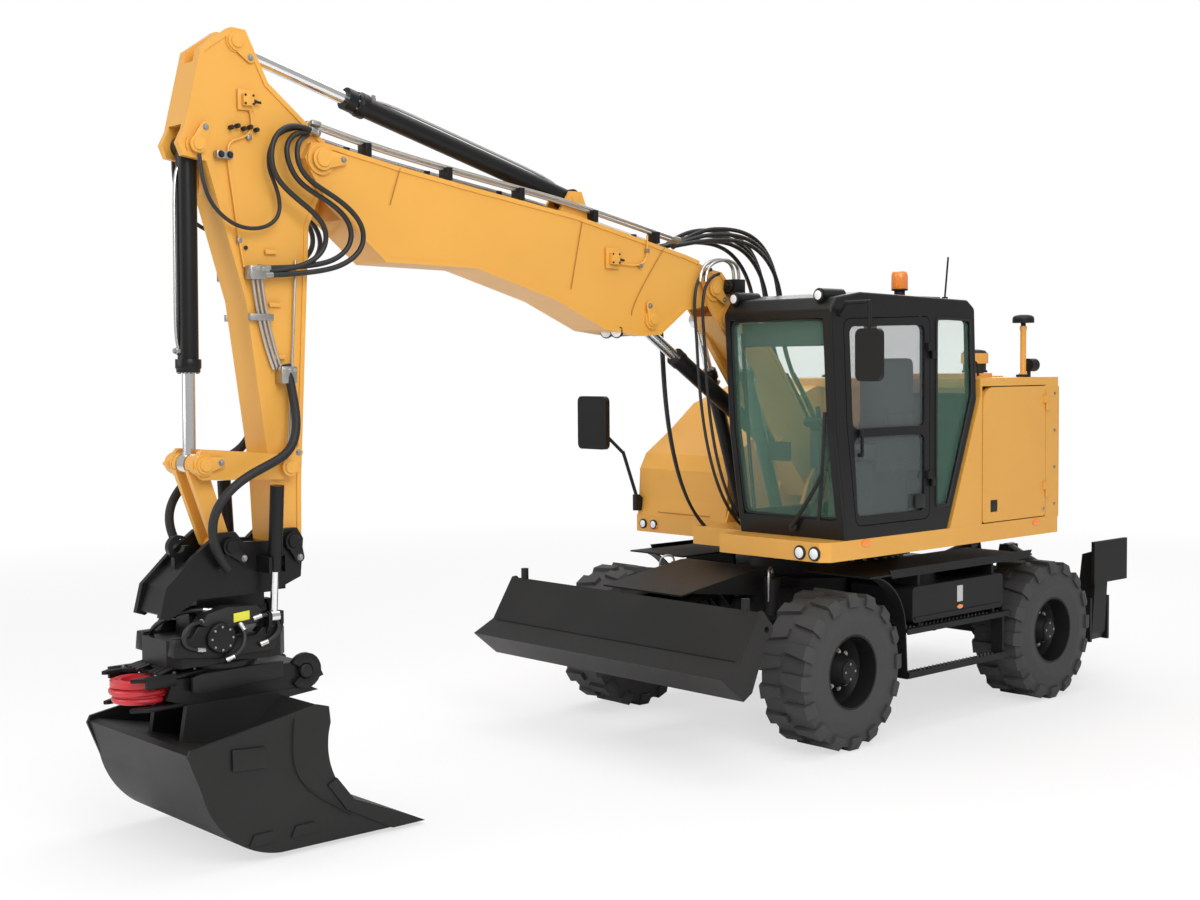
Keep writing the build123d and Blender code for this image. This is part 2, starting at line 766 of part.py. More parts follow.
# Rounded tail weight
tail_floor_z, tail_top_z = 1420.0, 2550.0
with BuildPart() as counterweight:
    with BuildSketch(Plane.XY.offset(tail_floor_z)) as tail:
        with BuildLine():
            Polyline(
                (tail_corner_x, body_half_width),
                (deck_rear_x, body_half_width),
                (deck_rear_x, -body_half_width),
                (tail_corner_x, -body_half_width),
            )
            ThreePointArc(
                (tail_corner_x, -body_half_width), (slew_x - tail_radius, 0), (tail_corner_x, body_half_width)
            )
        make_face()
    extrude(tail.sketch, amount=tail_top_z - tail_floor_z)
    rims_round = counterweight.edges().filter_by(GeomType.CIRCLE).sort_by(Axis.Z)
    chamfer(rims_round[-1], 70)
    rims_round = counterweight.edges().filter_by(GeomType.CIRCLE).sort_by(Axis.Z)
    chamfer(rims_round[0], 40)
    for z in (1650, 2135):
        with BuildSketch(Plane.XY.offset(z)) as groove:
            with Locations((slew_x, 0)):
                Circle(tail_radius + 60)
                Circle(tail_radius - 14, mode=Mode.SUBTRACT)
            with Locations((slew_x + tail_radius, 0)):
                Rectangle(2 * (tail_radius + sqrt(tail_radius**2 - body_half_width**2)), 4 * tail_radius,
                          mode=Mode.SUBTRACT)
        extrude(groove.sketch, amount=12, mode=Mode.SUBTRACT)
    block(slew_x - tail_radius - 50, slew_x - tail_radius + 22, -330, 330, 1760, 2060, Mode.SUBTRACT)
write(counterweight, "counterweight")

with BuildPart() as engine_block:
    block(slew_x - 1150, slew_x - 520, -700, 560, deck_top_z + seat, 2150)
write(engine_block, "engine_block")

# Body panels: right tank and toolbox, fixed panels behind the cab
door_front_x = front_x - 1520
door_rear_x = front_x - 2370
panel = 40.0
service_hinge_x, service_hinge_y = door_rear_x - 4, body_half_width + 8
service_hinge_zs = (1680, 2360)
hood_hinge = (door_rear_x + 8, hood_top_z + 2)
hood_hinge_ys = (-800, 800)
with BuildPart() as body_panels:
    side_form(
        [
            (right_front_x - 10, deck_top_z + seat),
            (right_front_x - 26, 1600),
            (right_front_x - 40, 1840),
            (right_front_x - 110, 1960),
            (right_front_x - 386, 2140),
            (right_front_x - 672, 2358),
            (right_front_x - 1100, 2500),
            (door_front_x, 2500),
            (door_front_x, deck_top_z + seat),
        ],
        -cab_right_y - 5,
        -body_half_width,
    )
    side_form(
        [
            (front_x - 1115, deck_top_z + seat),
            (front_x - 1490, 2420),
            (front_x - 1490, 2500),
            (door_front_x + 6, 2500),
            (door_front_x + 6, deck_top_z + seat),
        ],
        body_half_width,
        body_half_width - panel,
    )
    block(door_front_x - 0, door_front_x + 30, -body_half_width, body_half_width - panel, deck_top_z + seat,
          2500)
    block(deck_rear_x + 2, door_rear_x - 6, body_half_width - panel, body_half_width, deck_top_z + seat, 2500)
    block(deck_rear_x + 2, door_rear_x - 6, -body_half_width, -body_half_width + panel, deck_top_z + seat,
          2500)
    block(deck_rear_x + 2, deck_rear_x + 42, -body_half_width + panel, body_half_width - panel,
          deck_top_z + seat, 2500)
    block(door_rear_x - 4, door_front_x + 30, -body_half_width, -body_half_width + panel,
          deck_top_z + seat, 2500)
    block(deck_rear_x + 2, door_rear_x, -body_half_width, body_half_width, 2470, hood_top_z)
    for side in (-1, 1):
        block(deck_rear_x + 2, door_front_x + 30, side * 1106, side * body_half_width, 2500, hood_top_z)
    block(door_front_x + 26, door_front_x + 66, -1106, 1106, 2490, hood_top_z)
    for y in hood_hinge_ys:
        cross_bar(hood_hinge, y + 62, y - seat, 14, Mode.SUBTRACT)
        block(hood_hinge[0] - 50, hood_hinge[0], y - 60, y - seat, hood_top_z - 5, hood_top_z + 9)
        cross_bar(hood_hinge, y - seat, y - 60, 10)
    for z in service_hinge_zs:
        bar((service_hinge_x, service_hinge_y, z - 60), (service_hinge_x, service_hinge_y, z - seat), 7.5)
        block(service_hinge_x - 44, service_hinge_x - 3, body_half_width - 5, body_half_width + 14, z - 60,
              z - seat)
        block(service_hinge_x - 8, service_hinge_x, body_half_width + 2, body_half_width + 14, z - 60,
              z - seat)
    for row in range(9):
        louvre_z = 1700 + row * 70
        block(door_rear_x + 90, door_front_x - 90, -body_half_width - 5, -body_half_width + 14, louvre_z,
              louvre_z + 34, Mode.SUBTRACT)
    side_form(
        [
            (right_front_x - 420, 2090),
            (right_front_x - 1000, 2420),
            (right_front_x - 1000, 2180),
            (right_front_x - 640, 2010),
        ],
        -body_half_width + 14,
        -body_half_width - 5,
        Mode.SUBTRACT,
        40,
    )
write(body_panels, "body_panels")

with BuildPart() as service_door:
    side_form(
        [
            (door_rear_x, deck_top_z + 8),
            (door_rear_x, 2492),
            (door_front_x - 6, 2492),
            (door_front_x - 6, deck_top_z + 8),
        ],
        body_half_width,
        body_half_width - panel,
    )
    fillet(service_door.edges().filter_by(Axis.Y).sort_by(Axis.Z)[2:].sort_by(Axis.X)[-1], 130)
    fillet(service_door.edges().filter_by(Axis.Y).sort_by(Axis.Z)[:2], 25)
    latch_x = door_front_x - 154
    block(latch_x - 46, latch_x + 46, body_half_width - 14, body_half_width + 5, 1547, 1639, Mode.SUBTRACT)
    block(latch_x - 30, latch_x + 30, body_half_width - 15, body_half_width - 4, 1575, 1605)
    bar((door_rear_x + 30, body_half_width - 5, 1530), (door_rear_x + 30, body_half_width + 6, 1530), 17)
    for z in service_hinge_zs:
        bar((service_hinge_x, service_hinge_y, z), (service_hinge_x, service_hinge_y, z + 60), 7.5)
        block(service_hinge_x + 5, service_hinge_x + 44, body_half_width - 5, body_half_width + 14, z, z + 60)
        block(service_hinge_x, service_hinge_x + 8, body_half_width + 2, body_half_width + 14, z, z + 60)
write(service_door, "service_door")

with BuildPart() as hood:
    block(door_rear_x + 10, door_front_x + 20, -1100, 1100, 2500 + seat, hood_top_z)
    for y in hood_hinge_ys:
        cross_bar(hood_hinge, y, y - 62, 14, Mode.SUBTRACT)
        block(hood_hinge[0], hood_hinge[0] + 50, y, y + 60, hood_top_z - 5, hood_top_z + 9)
        cross_bar(hood_hinge, y + 60, y, 10)
    for row in range(7):
        slot_x = door_rear_x + 110 + row * 60
        block(slot_x, slot_x + 30, -700, -150, hood_top_z - 14, hood_top_z + 5, Mode.SUBTRACT)
    block(door_rear_x + 330, door_rear_x + 760, 250, 1000, hood_top_z - 5, hood_top_z + 35, radius=40)
    bar((door_rear_x + 420, 880, hood_top_z), (door_rear_x + 420, 880, hood_top_z + 120), 70)
    bar((door_rear_x + 420, 880, hood_top_z + 110), (door_rear_x + 420, 880, hood_top_z + 190), 105)
    bar((door_rear_x + 600, -300, hood_top_z - 5), (door_rear_x + 600, -300, hood_top_z + 130), 48)
write(hood, "hood")

# Cab shell with its windows cut
cab_outline = [
    (front_x + 85, cab_floor_z),
    (front_x + 200, 2200),
    (front_x + 250, 3040),
    (front_x + 180, 3130),
    (front_x - 90, 3170),
    (front_x - 1330, 3140),
    (front_x - 1420, 3080),
    (front_x - 1450, 2400),
    (front_x - 1090, cab_floor_z),
]
cab_left_y = body_half_width
roof_lamp_ys = (cab_right_y + 75, cab_left_y - 130)
door_pivot_x = front_x - 868
door_outline = [
    (front_x - 30, 1560),
    (front_x + 70, 2250),
    (front_x + 110, 2980),
    (front_x - 860, 3010),
    (front_x - 860, 1560),
]
door_corner = 60.0
window_corner = 50.0
quarter_window = [
    (front_x - 940, 1640),
    (front_x - 940, 3000),
    (front_x - 1350, 2990),
    (front_x - 1375, 2440),
    (front_x - 1080, 1640),
]
right_window = [
    (front_x + 20, 1620),
    (front_x + 130, 2250),
    (front_x + 165, 2980),
    (front_x - 1350, 2990),
    (front_x - 1375, 2440),
    (front_x - 1080, 1620),
]
with BuildPart() as cab_shell:
    with BuildSketch(Plane.XZ.offset(-cab_left_y)) as body:
        with BuildLine():
            Polyline(*cab_outline, close=True)
        make_face()
        fillet(body.vertices().sort_by(Axis.Y)[2:], 45)
    extrude(body.sketch, amount=cab_left_y - cab_right_y)
    for flank in (cab_shell.faces().sort_by(Axis.Y)[0], cab_shell.faces().sort_by(Axis.Y)[-1]):
        fillet(flank.edges().filter_by(lambda e: e.center().Z > cab_floor_z + 5), 22)
    with BuildSketch(Plane.XZ.offset(-cab_left_y + cab_wall)) as room:
        with BuildLine():
            Polyline(*cab_outline, close=True)
        make_face()
        offset(amount=-cab_wall)
    extrude(room.sketch, amount=cab_left_y - cab_right_y - 2 * cab_wall, mode=Mode.SUBTRACT)
    with BuildSketch(Plane.XZ.offset(-cab_left_y - 5)) as doorway:
        with BuildLine():
            Polyline(*door_outline, close=True)
        make_face()
        fillet(doorway.vertices(), door_corner)
        offset(amount=door_gap, kind=Kind.INTERSECTION)
    extrude(doorway.sketch, amount=cab_wall + 10, mode=Mode.SUBTRACT)
    side_form(quarter_window, cab_left_y + 5, cab_left_y - cab_wall - 5, Mode.SUBTRACT, window_corner)
    side_form(right_window, cab_right_y + cab_wall + 5, cab_right_y - 5, Mode.SUBTRACT, window_corner)
    block(front_x - 30, front_x + 300, cab_right_y + 60, cab_left_y - 70, 1600, 2990, Mode.SUBTRACT)
    block(front_x - 1500, front_x - 1340, cab_right_y + 70, cab_left_y - 70, 2450, 3000, Mode.SUBTRACT)
    block(front_x - 750, front_x - 150, cab_right_y + 130, cab_left_y - 130, 3100, 3200, Mode.SUBTRACT)
    for z in (1850, 2770):
        bar((door_pivot_x, cab_left_y + 22, z - 60), (door_pivot_x, cab_left_y + 22, z - 5), 12)
        block(door_pivot_x - 45, door_pivot_x, cab_left_y - 20, cab_left_y + 30, z - 60, z - 5)
    for y in roof_lamp_ys:
        bar((front_x - 20, y, 3145), (front_x + 212, y, 3145), 48)
write(cab_shell, "cab_shell")


def pane(points, y_left, y_right):
    """Glass that fills a window with a hair of room all round."""
    with BuildSketch(Plane.XZ.offset(-y_left)) as outline:
        with BuildLine():
            Polyline(*points, close=True)
        make_face()
        fillet(outline.vertices(), window_corner)
        offset(amount=-seat, kind=Kind.INTERSECTION)
    extrude(outline.sketch, amount=y_left - y_right)


door_upper_window = [
    (front_x + 10, 2230),
    (front_x + 50, 2930),
    (front_x - 800, 2950),
    (front_x - 800, 2230),
]
door_lower_window = [
    (front_x - 45, 1620),
    (front_x + 0, 2170),
    (front_x - 800, 2170),
    (front_x - 800, 1620),
]
with BuildPart() as cab_door:
    side_form(door_outline, cab_left_y, cab_left_y - door_wall, radius=door_corner)
    for window in (door_upper_window, door_lower_window):
        side_form(window, cab_left_y + 5, cab_left_y - door_wall - 5, Mode.SUBTRACT, window_corner)
    block(front_x - 74, front_x - 38, cab_left_y - 5, cab_left_y + 32, 2180, 2222, radius=12)
    block(front_x - 74, front_x - 50, cab_left_y + 12, cab_left_y + 32, 2050, 2200, radius=8)
    block(front_x - 74, front_x - 38, cab_left_y - 5, cab_left_y + 32, 2035, 2062, radius=12)
    for z in (1850, 2770):
        bar((door_pivot_x, cab_left_y + 22, z - 5 + seat), (door_pivot_x, cab_left_y + 22, z + 50), 12)
        block(door_pivot_x + 4, door_pivot_x + 60, cab_left_y - 20, cab_left_y + 30, z - 5 + seat, z + 50)
write(cab_door, "cab_door")

glass = 6.0
with BuildPart() as door_glass:
    glass_y = cab_left_y - 20
    pane(door_upper_window, glass_y, glass_y - glass)
    pane(door_lower_window, glass_y, glass_y - glass)
write(door_glass, "door_glass")

with BuildPart() as cab_glass:
    pane(quarter_window, cab_left_y - 20, cab_left_y - 20 - glass)
    pane(right_window, cab_right_y + 26, cab_right_y + 20)
    side_form(
        [
            (front_x + 80, 1601),
            (front_x + 170, 2200),
            (front_x + 218, 2989),
            (front_x + 212, 2989),
            (front_x + 164, 2200),
            (front_x + 74, 1601),
        ],
        cab_left_y - 70 - seat,
        cab_right_y + 60 + seat,
    )
    block(front_x - 1419, front_x - 1413, cab_right_y + 70 + seat, cab_left_y - 70 - seat, 2450 + seat,
          3000 - seat)
    block(front_x - 750 + seat, front_x - 150 - seat, cab_right_y + 130 + seat, cab_left_y - 130 - seat,
          3125, 3131)
write(cab_glass, "cab_glass")

seat_x = front_x - 780
seat_y = 760.0
with BuildPart() as seat_cushions:
    block(seat_x - 230, seat_x + 270, seat_y - 240, seat_y + 240, 1960, 2080)
    side_form(
        [(seat_x - 250, 2080 + seat), (seat_x - 120, 2080 + seat), (seat_x - 190, 2720), (seat_x - 290, 2720)],
        seat_y + 230,
        seat_y - 230,
    )
write(seat_cushions, "seat")

with BuildPart() as controls:
    floor_z = cab_floor_z + cab_wall
    block(seat_x - 200, seat_x + 220, seat_y - 200, seat_y + 200, floor_z + seat, 1960 - seat)
    for side in (-1, 1):
        y = seat_y + side * 310
        block(seat_x - 200, seat_x + 240, y - 50, y + 50, floor_z + 380, 2200)
        block(seat_x - 150, seat_x + 100, seat_y + side * 190, y, floor_z + 380, floor_z + 430)
        bar((seat_x + 180, y, 2190), (seat_x + 210, y, 2360), 18)
    bar((front_x - 160, seat_y, floor_z + 30), (front_x - 300, seat_y, 2230), 45)
    block(front_x - 230, front_x - 90, seat_y - 90, seat_y + 90, floor_z + seat, floor_z + 60)
    bar((front_x - 300, seat_y, 2215), (front_x - 310, seat_y, 2245), 170)
write(controls, "controls")

# Lamps, beacon, mirrors, masts and rails
with BuildPart() as lamps:
    for y in (cab_left_y - 190, cab_left_y - 330):
        bar((cab_front_x + seat, y, 1395), (cab_front_x + 20, y, 1395), 45)
    for y in (-1050, -1170):
        bar((right_front_x + seat, y, 1395), (right_front_x + 20, y, 1395), 38)
    for y in roof_lamp_ys:
        bar((front_x + 212 + seat, y, 3145), (front_x + 226, y, 3145), 42)
    bar((front_x - 1100, 800, 3147.5), (front_x - 1100, 800, 3220), 40)
    bar((front_x - 1100, 800, 3220), (front_x - 1100, 800, 3370), 62)
write(lamps, "lamps")

with BuildPart() as outside_fittings:
    side_form(
        [
            (right_front_x - 14 + seat, 1500),
            (right_front_x + 50, 1500),
            (right_front_x + 50, 1630),
            (right_front_x + 10, 1630),
            (right_front_x - 26 + seat, 1600),
        ],
        -body_half_width + 45,
        -body_half_width + 5,
    )
    post_x, post_y = front_x - 300, -body_half_width + 25
    bar((post_x, post_y, 1600), (front_x - 230, post_y - 90, 1980), 14)
    bar((front_x - 230, post_y - 90, 1970), (front_x - 60, -1480, 2215), 14)
    front_form([(-1650, 2000), (-1310, 2000), (-1310, 2430), (-1650, 2430)], front_x - 82, front_x - 38,
               radius=45)
    bar((front_x + 150, cab_left_y + seat, 3020), (front_x + 150, cab_left_y + 18, 3020), 24)
    bar((front_x + 150, cab_left_y + 12, 3020), (front_x + 190, cab_left_y + 90, 3086), 13)
    bar((front_x + 187, cab_left_y + 82, 3086), (front_x + 205, 1556, 3086), 13)
    bar((front_x + 205, 1545, 3094), (front_x + 205, 1545, 2900), 13)
    front_form([(1440, 2560), (1650, 2560), (1650, 2910), (1440, 2910)], front_x + 184, front_x + 226,
               radius=45)
    for y in (-1000, 1000):
        mast_x = deck_rear_x + 110
        bar((mast_x, y, hood_top_z + seat), (mast_x, y, hood_top_z + 20), 55)
        bar((mast_x, y, hood_top_z + 15), (mast_x, y, 3000), 20)
        bar((mast_x, y, 2990), (mast_x, y, 3022), 85)
        bar((mast_x, y, 3020), (mast_x, y, 3040), 66)
    bar((deck_rear_x + 30, 1000, hood_top_z + seat), (deck_rear_x + 30, 1000, 2625), 16)
    bar((deck_rear_x - 50, 1000, 2655), (deck_rear_x + 45, 1000, 2655), 52)
    bar((front_x - 1250, 1100, 3142.9), (front_x - 1250, 1100, 3165), 22)
    bar((front_x - 1250, 1100, 3160), (front_x - 1290, 1100, 3460), 7)
write(outside_fittings, "outside_fittings")


# Lower boom: two side plates with a back plate, forked at both ends
joint_half = 95.0
flange = 28.0
web_depth = 8.0
with BuildPart() as lower_boom:
    foot_x, foot_z = boom_foot_pin
    joint_x, joint_z = boom_joint_pin
    outline = [
        (foot_x - 110, foot_z - 20),
        (foot_x - 60, foot_z - 100),
        (foot_x + 60, foot_z - 100),
        (foot_x + 420, foot_z + 330),
        (front_x - 277, 2424),
        (front_x + 252, 3112),
        (joint_x + 130, joint_z + 60),
        (joint_x + 40, joint_z + 140),
        (joint_x - 90, joint_z + 120),
        (joint_x - 200, joint_z + 10),
        (foot_x + 420, foot_z + 950),
        (foot_x + 60, foot_z + 420),
    ]
    side_form(outline, boom_side_y, -boom_side_y)
    side_form(
        [
            (foot_x + 160, foot_z + 20),
            (adjust_base_pin[0] - 90, adjust_base_pin[1] - 100),
            (adjust_base_pin[0] - 140, adjust_base_pin[1] + 60),
            (adjust_base_pin[0] - 20, adjust_base_pin[1] + 200),
            (joint_x - 60, joint_z - 260),
            (joint_x + 400, joint_z + 100),
            (joint_x + 600, joint_z - 300),
            (foot_x + 500, foot_z - 200),
        ],
        72,
        -72,
        Mode.SUBTRACT,
    )
    side_form(
        [
            (joint_x - 170, joint_z - 200),
            (joint_x - 200, joint_z + 300),
            (joint_x + 300, joint_z + 300),
            (joint_x + 300, joint_z - 200),
        ],
        joint_half + pin_gap,
        -joint_half - pin_gap,
        Mode.SUBTRACT,
    )
    for face in (boom_side_y, -boom_side_y):
        sunk_web(outline, flange, face, web_depth)
        skin = face - web_depth * 2 if face > 0 else face + web_depth * 2
        cross_bar(boom_foot_pin, face, skin, 92)
        cross_bar(boom_joint_pin, face * 1.09, skin, 92)
        cross_bar(lift_rod_pin, face * 1.16, skin, 86)
        cross_bar(adjust_base_pin, face * 1.08, skin, 60)
    cross_bar(boom_foot_pin, 300, -300, 45 + fit, Mode.SUBTRACT)
    cross_bar(boom_joint_pin, boom_side_y + 20, -boom_side_y - 20, 45)
    cross_bar(adjust_base_pin, 80, -80, 35)
    cross_bar(lift_rod_pin, boom_side_y + 22, -boom_side_y - 22, 55)
write(lower_boom, "lower_boom")

with BuildPart() as lift_barrels:
    for side in (-1, 1):
        y = side * lift_y
        ram_barrel((lift_base_pin[0], y, lift_base_pin[1]), (lift_rod_pin[0], y, lift_rod_pin[1]), left,
                   48, 30, lift_in, 32, 112)
write(lift_barrels, "lift_barrels")
with BuildPart() as lift_rods:
    for side in (-1, 1):
        y = side * lift_y
        ram_rod((lift_base_pin[0], y, lift_base_pin[1]), (lift_rod_pin[0], y, lift_rod_pin[1]), left,
                30, lift_in, lift_out, 32, 64)
write(lift_rods, "lift_rods")

# Upper boom
boom_half = 165.0
with BuildPart() as upper_boom:
    arm_x, arm_z = arm_pin
    outline = [
        (joint_x - 100, joint_z - 60),
        (joint_x - 110, joint_z + 60),
        (joint_x - 30, joint_z + 130),
        (front_x + 522, 3455),
        (front_x + 1559, 3677),
        (front_x + 2475, 3811),
        (front_x + 3004, 3894),
        (arm_x - 44, arm_z + 95),
        (arm_x + 60, arm_z + 90),
        (arm_x + 105, arm_z),
        (arm_x + 60, arm_z - 90),
        (front_x + 3503, 3654),
        (front_x + 3087, 3310),
        (front_x + 2404, 3298),
        (front_x + 1741, 3111),
        (front_x + 1296, 2919),
        (front_x + 960, 2880),
        (front_x + 780, 2890),
        (front_x + 524, 3067),
        (joint_x + 60, joint_z - 130),
    ]
    side_form(outline, boom_half, -boom_half)
    side_form(
        [
            (joint_x - 300, joint_z - 300),
            (joint_x - 300, joint_z + 300),
            (joint_x + 190, joint_z + 300),
            (joint_x + 190, joint_z - 300),
        ],
        boom_half + 10,
        joint_half,
        Mode.SUBTRACT,
    )
    side_form(
        [
            (joint_x - 300, joint_z - 300),
            (joint_x - 300, joint_z + 300),
            (joint_x + 190, joint_z + 300),
            (joint_x + 190, joint_z - 300),
        ],
        -joint_half,
        -boom_half - 10,
        Mode.SUBTRACT,
    )
    side_form(
        [
            (front_x + 450, 2850),
            (front_x + 560, 3110),
            (front_x + 1080, 3160),
            (front_x + 1180, 2850),
        ],
        74,
        -74,
        Mode.SUBTRACT,
    )
    side_form(
        [
            (front_x + 3400, 3300),
            (front_x + 3330, 4100),
            (front_x + 3800, 4100),
            (front_x + 3800, 3300),
        ],
        118 + pin_gap,
        -118 - pin_gap,
        Mode.SUBTRACT,
    )
    for face in (boom_half, -boom_half):
        sunk_web(outline, flange, face, web_depth)
        skin = face - web_depth * 2 if face > 0 else face + web_depth * 2
        cross_bar(arm_pin, face * 1.07, skin, 92)
        cross_bar(adjust_rod_pin, face * 1.06, skin, 66)
    cross_bar(boom_joint_pin, 400, -400, 45 + fit, Mode.SUBTRACT)
    cross_bar(arm_pin, boom_half + 22, -boom_half - 22, 42)
    for side in (-1, 1):
        side_form(
            [
                (arm_ram_base_pin[0] - 130, arm_ram_base_pin[1] - 150),
                (arm_ram_base_pin[0] - 50, arm_ram_base_pin[1] + 45),
                (arm_ram_base_pin[0] + 50, arm_ram_base_pin[1] + 45),
                (arm_ram_base_pin[0] + 160, arm_ram_base_pin[1] - 110),
            ],
            side * 84 + 12,
            side * 84 - 12,
        )
    cross_bar(arm_ram_base_pin, 100, -100, 36)
write(upper_boom, "upper_boom")


def centre_ram(base_pin, rod_pin, radius, rod_radius, rod_in, rod_out, pin_radius, eye_widths, name):
    """Write the barrel and rod of a ram that lies on the machine's centre plane."""
    base = (base_pin[0], 0, base_pin[1])
    tip = (rod_pin[0], 0, rod_pin[1])
    with BuildPart() as barrel:
        ram_barrel(base, tip, left, radius, rod_radius, rod_in, pin_radius, eye_widths[0])
    write(barrel, f"{name}_barrel")
    with BuildPart() as rod:
        ram_rod(base, tip, left, rod_radius, rod_in, rod_out, pin_radius, eye_widths[1])
    write(rod, f"{name}_rod")


centre_ram(adjust_base_pin, adjust_rod_pin, 62, 40, adjust_in, adjust_out, 35, (130, 140), "adjust")
centre_ram(arm_ram_base_pin, arm_ram_rod_pin, 62, 40, arm_in, arm_out, 36, (136, 100), "arm_ram")
centre_ram(bucket_ram_base_pin, rocker_end_pin, 58, 36, bucket_in, bucket_out, 34, (136, 78), "bucket_ram")

# Arm
arm_half = 118.0
with BuildPart() as arm:
    outline = [
        (arm_ram_rod_pin[0] - 60, arm_ram_rod_pin[1] + 70),
        (arm_ram_rod_pin[0] + 30, arm_ram_rod_pin[1] + 75),
        (front_x + 4270, 4450),
        (front_x + 4380, 4000),
        (front_x + 4420, 3920),
        (front_x + 4390, 3850),
        (front_x + 4250, 3830),
        (front_x + 4020, 3060),
        (front_x + 3890, 2120),
        (tool_pin[0] + 90, tool_pin[1]),
        (tool_pin[0] + 50, tool_pin[1] - 85),
        (tool_pin[0] - 50, tool_pin[1] - 85),
        (tool_pin[0] - 95, tool_pin[1] + 20),
        (front_x + 3680, 2030),
        (front_x + 3600, 3500),
        (arm_pin[0] - 60, arm_pin[1] - 110),
        (arm_pin[0] - 110, arm_pin[1] + 10),
        (arm_pin[0] - 60, arm_pin[1] + 110),
        (front_x + 3850, 4300),
    ]
    side_form(outline, arm_half, -arm_half)
    side_form(
        [
            (arm_ram_rod_pin[0] - 400, arm_ram_rod_pin[1] - 130),
            (arm_ram_rod_pin[0] + 300, arm_ram_rod_pin[1] - 130),
            (arm_ram_rod_pin[0] + 300, arm_ram_rod_pin[1] + 200),
            (arm_ram_rod_pin[0] - 400, arm_ram_rod_pin[1] + 200),
        ],
        54,
        -54,
        Mode.SUBTRACT,
    )
    side_form(
        [
            (bucket_ram_base_pin[0] - 110, bucket_ram_base_pin[1] - 300),
            (bucket_ram_base_pin[0] - 110, bucket_ram_base_pin[1] + 110),
            (bucket_ram_base_pin[0] + 300, bucket_ram_base_pin[1] + 110),
            (bucket_ram_base_pin[0] + 300, bucket_ram_base_pin[1] - 300),
        ],
        72,
        -72,
        Mode.SUBTRACT,
    )
    for face in (arm_half, -arm_half):
        sunk_web(outline, flange, face, web_depth)
        skin = face - web_depth * 2 if face > 0 else face + web_depth * 2
        for pin, boss in ((arm_pin, 96), (tool_pin, 78), (rocker_pin, 74), (arm_ram_rod_pin, 62),
                          (bucket_ram_base_pin, 62)):
            cross_bar(pin, face, skin, boss)
    cross_bar(arm_pin, 300, -300, 42 + fit, Mode.SUBTRACT)
    cross_bar(bucket_ram_base_pin, arm_half + 20, -arm_half - 20, 34)
    cross_bar(tool_pin, 300, -300, 40 + fit, Mode.SUBTRACT)
    cross_bar(rocker_pin, arm_half + 75, -arm_half - 75, 34)
write(arm, "arm")

# Rocker, link and tool carrier
rocker_plate = 38.0
with BuildPart() as rocker:
    for side in (-1, 1):
        y = side * (arm_half + pin_gap + rocker_plate / 2)
        side_form(
            [
                (rocker_pin[0] - 70, rocker_pin[1] - 20),
                (rocker_pin[0] - 60, rocker_pin[1] + 60),
                (rocker_pin[0] + 20, rocker_pin[1] + 75),
                (rocker_end_pin[0], rocker_end_pin[1] + 85),
                (rocker_end_pin[0] + 85, rocker_end_pin[1]),
                (rocker_end_pin[0], rocker_end_pin[1] - 85),
                (rocker_pin[0] + 20, rocker_pin[1] - 70),
            ],
            y + rocker_plate / 2,
            y - rocker_plate / 2,
        )
        cross_bar(rocker_end_pin, side * (arm_half + 60), side * 97, 62)
        cross_bar(rocker_end_pin, side * (arm_half + 60), side * 44, 30)
    cross_bar(rocker_pin, 400, -400, 34 + fit, Mode.SUBTRACT)
write(rocker, "rocker")

with BuildPart() as link:
    for side in (-1, 1):
        y = side * 75
        side_form(
            [
                (rocker_end_pin[0] - 60, rocker_end_pin[1] - 30),
                (rocker_end_pin[0] + 60, rocker_end_pin[1] - 30),
                (link_end_pin[0] + 55, link_end_pin[1]),
                (link_end_pin[0], link_end_pin[1] - 60),
                (link_end_pin[0] - 55, link_end_pin[1]),
            ],
            y + 18,
            y - 18,
        )
        cross_bar(rocker_end_pin, y - 18, y + 18, 60)
    cross_bar(link_end_pin, 80, -80, 45)
    cross_bar(rocker_end_pin, 300, -300, 30 + fit, Mode.SUBTRACT)
write(link, "link")

